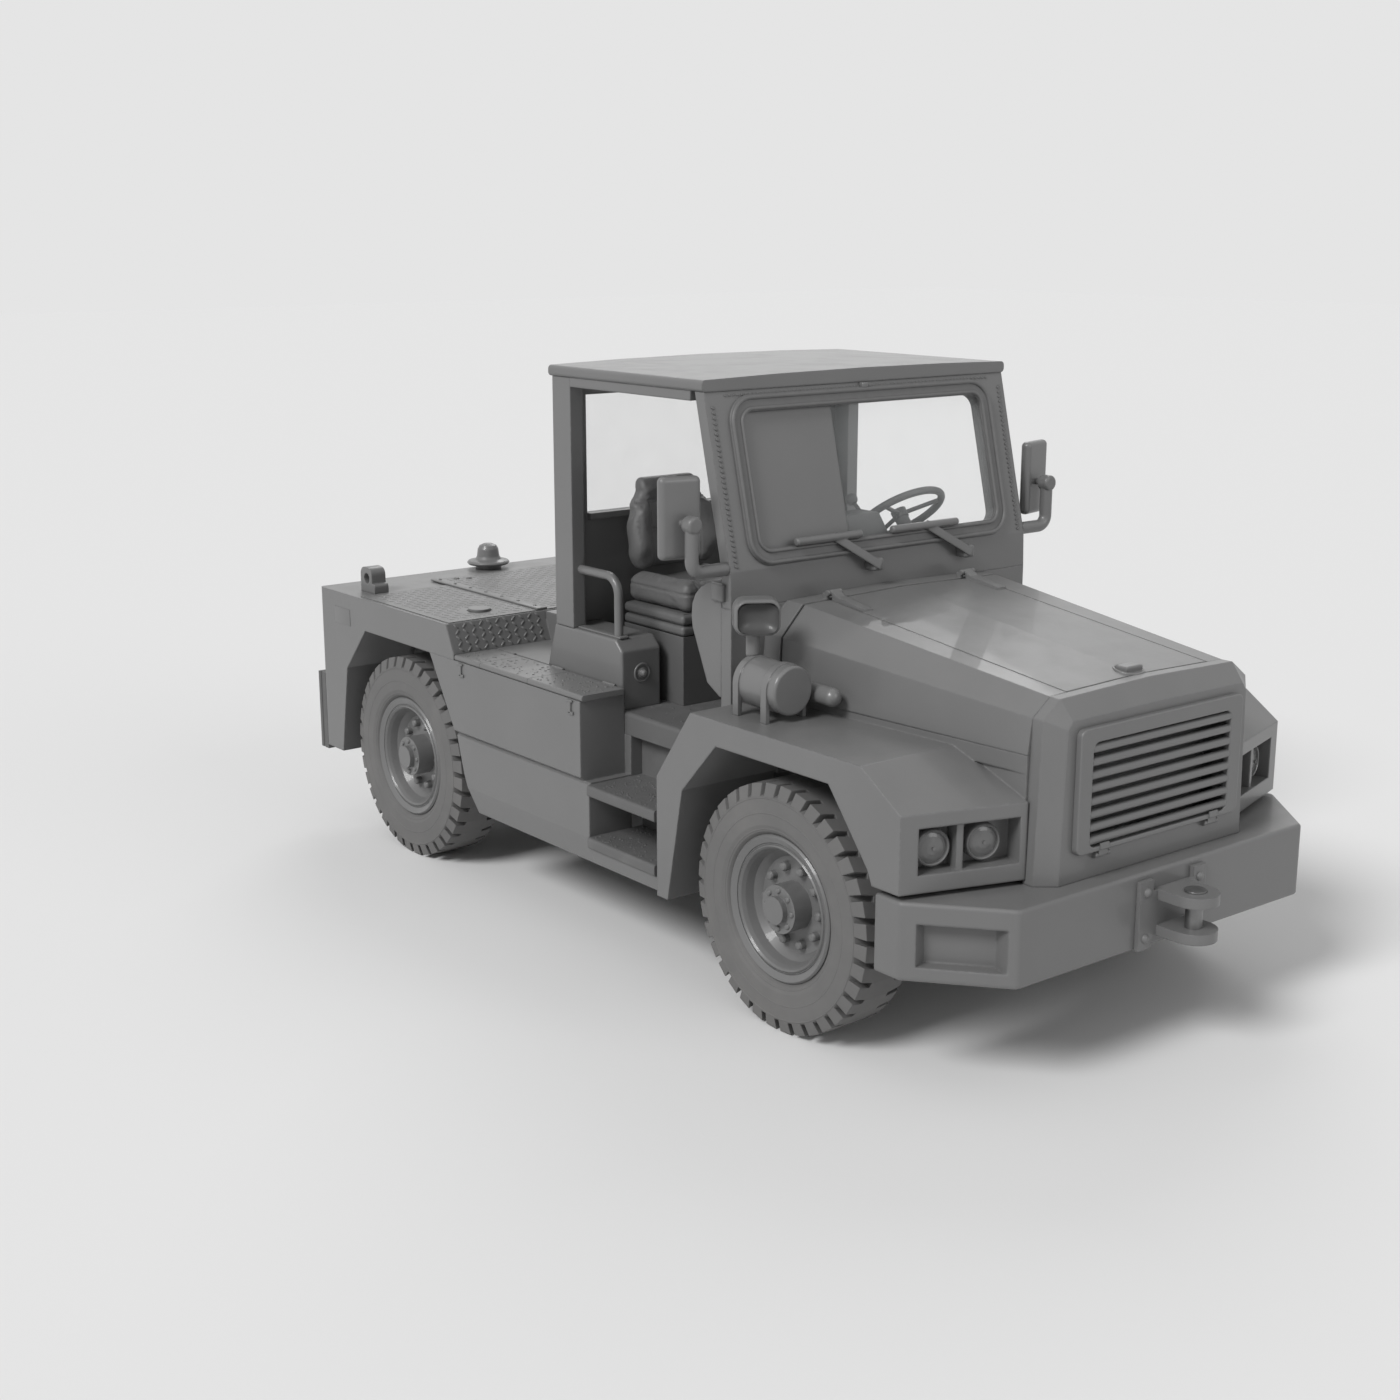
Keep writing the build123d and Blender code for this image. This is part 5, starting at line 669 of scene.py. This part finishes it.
lamp_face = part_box("lamps")[0].x
tail_lamp_z = 1.0
tail_lamp_places = (-0.9, -0.73, 0.73, 0.9)
rim_outline = ((-0.001, 0.062), (0.004, 0.061), (0.006, 0.058), (0.006, 0.053), (0.001, 0.051))
lens_outline = (
    (-0.001, 0.0515), (0.003, 0.051), (0.005, 0.044), (0.004, 0.041), (0.0065, 0.030), (0.0055, 0.027),
    (0.0075, 0.014), (0.008, 0))
tail_lenses, tail_rims = bmesh.new(), bmesh.new()
for y in tail_lamp_places:
    turned(tail_rims, (lamp_face, y, tail_lamp_z), (-1, 0, 0), rim_outline, steps=40)
    turned(tail_lenses, (lamp_face, y, tail_lamp_z), (-1, 0, 0), lens_outline, steps=40)
made("tail_lenses", tail_lenses, "chassis", lens)
made("tail_rims", tail_rims, "chassis", seal)


# Windscreen ring
# An extruded rubber ring is clipped round the opening and holds the panes; the seats' bellows are
# of like rubber. Two round beads are moulded along the ring's outer and inner edge.
seal.paint("screen_gasket", "seat_bellows")

# The line up the cab's front corners, with the lean of the windscreen.
corner_foot, corner_head = Vector((0.6895, 0, 1.760)), Vector((0.5265, 0, 2.420))
corner_run = corner_head - corner_foot
corner_up = corner_run.normalized()
corner_out = Vector((corner_up.z, 0, -corner_up.x))
corner_frame = Matrix((
    (corner_out.x, 0, corner_up.x, corner_foot.x),
    (0, 1, 0, 0),
    (corner_out.z, 0, corner_up.z, corner_foot.z),
    (0, 0, 0, 1)))
lean = 0.971  # height gained for each metre up the corner
gasket_low, gasket_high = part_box("screen_gasket")
ring_tip = 0.003  # what the leaning ring's thickness adds to the height of its top
ring_half = gasket_high.y
ring_low = (gasket_low.z - corner_foot.z) / lean
ring_high = (gasket_high.z - ring_tip - corner_foot.z) / lean
ring_corner = 0.120
ring_face = 0.013
bend_steps, bead_steps = 8, 12
# How far each bead lies inside the ring's outer edge, and the bead's radius.
bead_rows = ((0.012, 0.0095), (0.058, 0.008))
beads = bmesh.new()
for inset, bead_radius in bead_rows:
    bend = ring_corner - inset
    rings = []
    for quarter, (y_side, z_side) in enumerate(((1, 1), (-1, 1), (-1, -1), (1, -1))):
        bend_y = y_side * (ring_half - inset - bend)
        bend_z = (ring_high if z_side > 0 else ring_low) - z_side * (inset + bend)
        for step in range(bend_steps + 1):
            angle = (quarter + step / bend_steps) * pi / 2
            ring = []
            for spoke in range(bead_steps):
                turn = 2 * pi * spoke / bead_steps
                rise, reach = ring_face + bead_radius * sin(turn), bend + bead_radius * cos(turn)
                spot = Vector((rise, bend_y + cos(angle) * reach, bend_z + sin(angle) * reach))
                ring.append(beads.verts.new(corner_frame @ spot))
            rings.append(ring)
    for one, other in zip(rings, rings[1:] + rings[:1]):
        for spoke in range(bead_steps):
            after = (spoke + 1) % bead_steps
            beads.faces.new((one[spoke], one[after], other[after], other[spoke]))
made("screen_beads", beads, "chassis", seal)


# Ribbed finishers
# Ribbed rubber strips are clipped down the cab's front corners and under the roof's front edge.
# They cover the joints between the panels.
rib_pitch, rib_rounding = 0.0215, 0.002
corner_ribs, roof_ribs = 31, 71
rib_out, rib_side, rib_turn = 0.0012, 0.826, 0.5
corner_rib_half = Vector((0.003, 0.010, 0.0055))
roof_rib_low, roof_rib_high = Vector((-0.003, -0.0065, -0.005)), Vector((0.004, 0.0065, 0.005))
roof_rib_rise = 0.012
finishers = bmesh.new()
for side in (-1, 1):
    for step in range(corner_ribs):
        place = Matrix.Translation((rib_out, side * rib_side, step * rib_pitch))
        tilt = Matrix.Rotation(side * rib_turn, 4, "X")
        plate(finishers, -corner_rib_half, corner_rib_half, rib_rounding, corner_frame @ place @ tilt)
for step in range(roof_ribs):
    place = Matrix.Translation((0, (step - roof_ribs // 2) * rib_pitch, corner_run.length + roof_rib_rise))
    plate(finishers, roof_rib_low, roof_rib_high, rib_rounding, corner_frame @ place)
made("ribbed_finishers", finishers, "chassis", seal)


# Glass
# Flat clear panes of safety glass, set in the windscreen's rubber ring and in the rear wall.
# A thin film of dust lies on them.
glass = Finish("clear_glass")
glass_film = glass.noise(7.0, 4.0)
glass.feed("Base Color", (0.8, 0.83, 0.83, 1))
glass.feed("Roughness", 0.03 + glass_film * 0.05)
glass.feed("Alpha", 0.06 + glass_film * 0.04)
glass.paint("cab_glass")


# Dash and gauges
# A moulded dash shell with a fine leather grain, screwed to the cowl. Round gauges with a bright
# bezel, a dark dial and a pale needle sit in its binnacle, over a row of rocker switches.
dash_skin = Finish("dash_skin")
dash_fade = dash_skin.noise(4.0, 4.0)
dash_skin.feed("Base Color", dash_skin.mix(dash_fade, grey(0.11), grey(0.145)))
dash_skin.feed("Roughness", 0.5 + dash_fade * 0.12)
dash_skin.relief(dash_skin.cells(300.0), 0.0012, 0.4, dash_skin.round_edges(0.01))
dash_skin.paint("dash")

bezel_steel = painted("gauge_bezel", 0.3, 0.25, edge=0.001, dust=0.1)
dial_black = painted("gauge_dial", 0.02, 0.3, edge=0.001, dust=0.1)
panel_x, binnacle_y = 0.470, -0.050
needle_rear, needle_front = panel_x - 0.0052, panel_x - 0.0032
bezels, dials, needles = bmesh.new(), bmesh.new(), bmesh.new()
large_gauge, small_gauge = (1.80, 0.050), (1.861, 0.021)
# Each gauge's place across the binnacle, and its height and radius.
for across, (z, radius) in ((-0.072, large_gauge), (0.052, large_gauge), (-0.055, small_gauge),
                            (0.0, small_gauge), (0.055, small_gauge)):
    y = binnacle_y + across
    turned(bezels, (panel_x, y, z), (-1, 0, 0), (
        (-0.001, radius), (0.005, radius), (0.007, radius * 0.94), (0.007, radius * 0.88),
        (0.002, radius * 0.84)), steps=32)
    turned(dials, (panel_x, y, z), (-1, 0, 0), (
        (-0.001, radius * 0.87), (0.0025, radius * 0.86), (0.003, 0)), steps=32)
    turned(needles, (panel_x, y, z), (-1, 0, 0), (
        (0.002, radius * 0.12), (0.005, radius * 0.1), (0.006, 0)), steps=12)
    needle_half, needle_length = radius * 0.04, radius * 0.7
    plate(needles, (needle_rear, y - needle_half, z), (needle_front, y + needle_half, z + needle_length),
          rounding=0.0004)
made("gauge_bezels", bezels, "chassis", bezel_steel)
made("gauge_dials", dials, "chassis", dial_black)
made("gauge_needles", needles, "chassis", bezel_steel)

switch_rear, switch_front = panel_x - 0.008, panel_x + 0.001
switch_foot, switch_top, switch_half = 1.713, 1.738, 0.014
first_switch, switch_pitch = binnacle_y - 0.105, 0.042
switches = bmesh.new()
for step in range(6):
    y = first_switch + step * switch_pitch
    plate(switches, (switch_rear, y - switch_half, switch_foot), (switch_front, y + switch_half, switch_top),
          rounding=0.003)
made("dash_switches", switches, "chassis", dial_black)


# Steering wheel
# Hard moulded plastic over a steel rim, on a column that leans back.
# A stitched sleeve is laced over the rim.
wheel_plastic = Finish("steering_wheel_plastic")
hand_polish = wheel_plastic.noise(11.0, 4.0)
wheel_plastic.feed("Base Color", wheel_plastic.mix(hand_polish, grey(0.1), grey(0.14)))
wheel_plastic.feed("Roughness", 0.28 + hand_polish * 0.22)
wheel_plastic.relief(wheel_plastic.noise(260.0), 0.0002, 0.3)
wheel_plastic.paint("steering_wheel")

column_lean = radians(38)
rim_radius, sleeve_radius, sleeve_steps = 0.205, 0.0172, 12
sleeve_turns = [2 * pi * step / sleeve_steps for step in range(sleeve_steps + 1)]
sleeve_outline = [
    (sleeve_radius * sin(turn), rim_radius + sleeve_radius * cos(turn)) for turn in sleeve_turns]
wheel_low, wheel_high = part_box("steering_wheel")
column_axis = (-sin(column_lean), 0, cos(column_lean))
grip = bmesh.new()
turned(grip, (wheel_low + wheel_high) / 2, column_axis, sleeve_outline, steps=72)
bmesh.ops.remove_doubles(grip, verts=grip.verts, dist=0.0001)
made("steering_grip", grip, "steering_wheel", dash_skin)


# Seats
# Suspension seats on a steel box and a rubber bellows. The cushion and the back are sewn vinyl
# covers drawn over moulded foam, which fills them.
seat_steel = painted("seat_steel", 0.12, 0.45, edge=0.006, dust=0.3)
seat_steel.paint("seat_boxes")

vinyl = Finish("seat_vinyl")
vinyl_shade = vinyl.noise(8.0, 4.0)
vinyl.feed("Base Color", vinyl.mix(vinyl_shade, grey(0.10), grey(0.14)))
vinyl.feed("Roughness", 0.42 + vinyl_shade * 0.15)
vinyl.relief(vinyl.cells(420.0), 0.0010, 0.45)
vinyl.paint("seat_cushions", "seat_backs")

cushion_half = (0.240, 0.226, 0.055)
back_half = (0.244, 0.035, 0.2125)
cushion_rounding, back_rounding = 0.040, 0.030
pad_cap = 0.010
pad_voxel = 0.007
pad_pressure, pad_frames = 4.0, 20
seam_depth, seam_width = 0.004, 0.005
bolster_seam, nose_seam, band_seam = 0.158, 0.135, 0.018
wing_seam, head_seam, lumbar_seam = 0.135, 0.10, -0.03
no_seam = 1.0
back_lean, back_foot = 0.105, -0.2225


def eased(value, table):
    """A smooth curve through (place, value) rows."""
    for (low, first), (high, last) in zip(table, table[1:]):
        if value <= high:
            share = max(0.0, min(1.0, (value - low) / (high - low)))
            share = share * share * (3 - 2 * share)
            return first + (last - first) * share
    return table[-1][1]


def padded_block(half, rounding, form):
    """A finely divided block with rounded corners, its points put in place by form."""
    shape = bmesh.new()
    bmesh.ops.create_cube(shape, size=2.0)
    bmesh.ops.subdivide_edges(shape, edges=shape.edges[:], cuts=19, use_grid_fill=True)
    for vert in shape.verts:
        point = Vector([value * reach for value, reach in zip(vert.co, half)])
        flats = [reach - rounding for reach in half]
        inner = Vector([max(-flat, min(flat, value)) for value, flat in zip(point, flats)])
        rest = point - inner
        if rest.length > 0:
            point = inner + rest.normalized() * min(rounding, max(abs(value) for value in rest))
        vert.co = form(point)
    return shape


def cushion_form(point):
    """Seat cushion about its middle: x across, y forward; side bolsters, a dished seat and a full nose."""
    across, ahead, up = point
    bolster = eased(abs(across), ((0.10, 0.0), (0.19, 1.0), (0.25, 0.72)))
    nose = eased(ahead, ((-0.22, 0.0), (0.08, 0.15), (0.20, 1.0), (0.24, 0.8)))
    top = max(0.0, up) / cushion_half[2]
    sag = 0.018 * (1 - min(1.0, abs(across) / 0.17) ** 2)
    sag *= eased(ahead, ((-0.2, 1.0), (0.12, 1.0), (0.2, 0.0)))
    up += top * (0.016 * bolster + 0.010 * nose - sag - 0.006)
    pulled = 1 - 0.035 * (1 - (min(1.0, abs(point.z) / cushion_half[2])) ** 2) * 0.4
    across *= pulled * (1 - 0.05 * max(0.0, ahead / 0.24) ** 3)
    return Vector((across, ahead * pulled, up))


def back_form(point):
    """Seat back about its middle: x across, y forward, z up; waisted foot, wings, and a narrow head."""
    across, ahead, up = point
    width = eased(up, ((-0.22, 0.86), (-0.13, 0.98), (-0.02, 1.0), (0.08, 0.90), (0.15, 0.70), (0.22, 0.64)))
    wing = eased(abs(across), ((0.11, 0.0), (0.20, 1.0), (0.25, 0.85)))
    wing *= eased(up, ((-0.22, 0.5), (-0.08, 1.0), (0.05, 0.9), (0.13, 0.1), (0.22, 0.0)))
    front = max(0.0, ahead) / back_half[1]
    head = eased(up, ((0.10, 0.0), (0.16, 1.0), (0.20, 0.9)))
    lumbar = eased(up, ((-0.22, 0.0), (-0.11, 1.0), (0.0, 0.2), (0.1, 0.0)))
    ahead += front * (0.040 * wing + 0.014 * head + 0.010 * lumbar - 0.012)
    ahead += 0.018 * wing - back_lean * (up - back_foot)
    return Vector((across * width, ahead, up))


def inflate(piece):
    """Remesh the form, let cloth pressure fill it, and hold each point within the cap of where it was."""
    bpy.context.view_layer.objects.active = piece
    remesh = piece.modifiers.new("remesh", "REMESH")
    remesh.mode = "VOXEL"
    remesh.voxel_size = pad_voxel
    bpy.ops.object.modifier_apply(modifier="remesh")
    before = [vert.co.copy() for vert in piece.data.vertices]
    cloth = piece.modifiers.new("cloth", "CLOTH")
    cloth.settings.use_pressure = True
    cloth.settings.uniform_pressure_force = pad_pressure
    cloth.settings.effector_weights.gravity = 0.0
    for step in range(1, pad_frames + 1):
        bpy.context.scene.frame_set(step)
    bpy.ops.object.modifier_apply(modifier="cloth")
    bpy.context.scene.frame_set(1)
    for vert, start in zip(piece.data.vertices, before):
        move = vert.co - start
        if move.length > pad_cap:
            vert.co = start + move.normalized() * pad_cap


def sewn(piece, seams):
    """Divide the mesh once and sink the seams that a distance rule gives."""
    bpy.context.view_layer.objects.active = piece
    finer = piece.modifiers.new("finer", "SUBSURF")
    finer.levels = 1
    bpy.ops.object.modifier_apply(modifier="finer")
    for vert in piece.data.vertices:
        near = seams(vert.co, vert.normal)
        if near < 3 * seam_width:
            vert.co -= vert.normal * seam_depth * max(0.0, 1 - (near / seam_width) ** 2 / 4)


def cushion_seams(point, normal):
    """Distance from the seams between the seat panel, its bolsters and the side band."""
    if normal.z > 0.3:
        bolster = abs(abs(point.x) - bolster_seam)
        nose = abs(point.y - nose_seam) if abs(point.x) < bolster_seam else no_seam
        return min(bolster, nose)
    return abs(point.z - band_seam)


def back_seams(point, normal):
    """Distance from the seams between the back panel, its wings and the head."""
    if normal.y > 0.2:
        wing = abs(abs(point.x) - wing_seam) if point.z < head_seam else no_seam
        head = abs(point.z - head_seam)
        lumbar = abs(point.z - lumbar_seam) if abs(point.x) < wing_seam else no_seam
        return min(wing, head, lumbar)
    return no_seam


def seat_pad(name, form, half, rounding, seams):
    """Make one padded form about its own middle, filled and sewn."""
    mesh = bpy.data.meshes.new(name)
    shape = padded_block(half, rounding, form)
    bmesh.ops.recalc_face_normals(shape, faces=shape.faces)
    shape.to_mesh(mesh)
    shape.free()
    piece = bpy.data.objects.new(name, mesh)
    bpy.context.scene.collection.objects.link(piece)
    inflate(piece)
    sewn(piece, seams)
    return piece


def set_seat_pad(pad, name, node, middle):
    """Put a copy of a pad in its seat, facing forward."""
    mesh = pad.data.copy()
    mesh.transform(Matrix.Translation(middle) @ Matrix.Rotation(-pi / 2, 4, "Z"))
    mesh.shade_smooth()
    piece = bpy.data.objects.new(name, mesh)
    bpy.context.scene.collection.objects.link(piece)
    vinyl.paint(piece)
    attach(piece, "chassis")
    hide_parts(node)


cushion_low, cushion_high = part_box("seat_cushions")
back_low, back_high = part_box("seat_backs")
seat_half = 0.255
back_middle_x = back_low.x + 0.085
cushion_pad = seat_pad("cushion_form", cushion_form, cushion_half, cushion_rounding, cushion_seams)
back_pad = seat_pad("back_form", back_form, back_half, back_rounding, back_seams)
for seat_name, y in (("driver", cushion_high.y - seat_half), ("passenger", cushion_low.y + seat_half)):
    set_seat_pad(cushion_pad, f"seat_cushion_{seat_name}", "seat_cushions",
                 ((cushion_low.x + cushion_high.x) / 2, y, (cushion_low.z + cushion_high.z) / 2))
    set_seat_pad(back_pad, f"seat_back_{seat_name}", "seat_backs",
                 (back_middle_x, y, (back_low.z + back_high.z) / 2))
for spare in (cushion_pad, back_pad):
    bpy.data.objects.remove(spare)


# Floor, light and camera
# A plain pale studio floor under an even pale surround, with a soft key light from the right and two
# weaker ones, from the front and from behind on the left. The camera stands at the front right.
floor_half = 60.0
floor_corners = [(-floor_half, -floor_half, 0), (floor_half, -floor_half, 0),
                 (floor_half, floor_half, 0), (-floor_half, floor_half, 0)]
floor_mesh = bpy.data.meshes.new("studio_floor")
floor_mesh.from_pydata(floor_corners, [], [(0, 1, 2, 3)])
floor = bpy.data.objects.new("studio_floor", floor_mesh)
bpy.context.scene.collection.objects.link(floor)
floor_finish = Finish("studio_floor")
floor_finish.feed("Base Color", grey(0.80))
floor_finish.feed("Roughness", 0.9)
floor_finish.feed("Specular IOR Level", 0.0)
floor_finish.paint(floor)

world = bpy.data.worlds.new("studio")
bpy.context.scene.world = world
world.use_nodes = True
sky = world.node_tree
ray = sky.nodes.new("ShaderNodeLightPath")
seen = Field(sky, ray.outputs["Is Camera Ray"])
for kind in ("Is Glossy Ray", "Is Transmission Ray"):
    seen = seen.math("MAXIMUM", seen, Field(sky, ray.outputs[kind]))
surround = sky.nodes["Background"]
surround.inputs["Color"].default_value = grey(0.9)
sky.links.new((0.40 + seen * 0.47).socket, surround.inputs["Strength"])


def studio_sun(name, place, softness, strength):
    """A wide soft sun that shines from a place towards the object."""
    lamp = bpy.data.lights.new(name, "SUN")
    lamp.angle = radians(softness)
    lamp.energy = strength
    holder = bpy.data.objects.new(name, lamp)
    bpy.context.scene.collection.objects.link(holder)
    holder.rotation_euler = (-Vector(place)).to_track_quat("-Z", "Y").to_euler()


studio_sun("key_sun", (0.6, -4.4, 4.0), 22, 2.1)
studio_sun("side_sun", (4.5, 1.2, 2.2), 30, 0.45)
studio_sun("back_sun", (-3.5, 3.2, 3.6), 30, 0.6)

lens_data = bpy.data.cameras.new("camera")
lens_data.sensor_width = 36.0
lens_data.lens = 50.26
camera = bpy.data.objects.new("camera", lens_data)
bpy.context.scene.collection.objects.link(camera)
camera_place = (6.716, -5.7617, 3.1289)
sight = Vector((-0.7626, 0.6009, -0.2395)).normalized()
rightward = Vector((0.619, 0.785, 0.0)).normalized()
above = rightward.cross(sight).normalized()
rightward = sight.cross(above)
facing = Matrix((rightward, above, -sight)).transposed()
camera.matrix_world = Matrix.Translation(camera_place) @ facing.to_4x4()
bpy.context.scene.camera = camera
bpy.context.scene.view_settings.view_transform = "Standard"
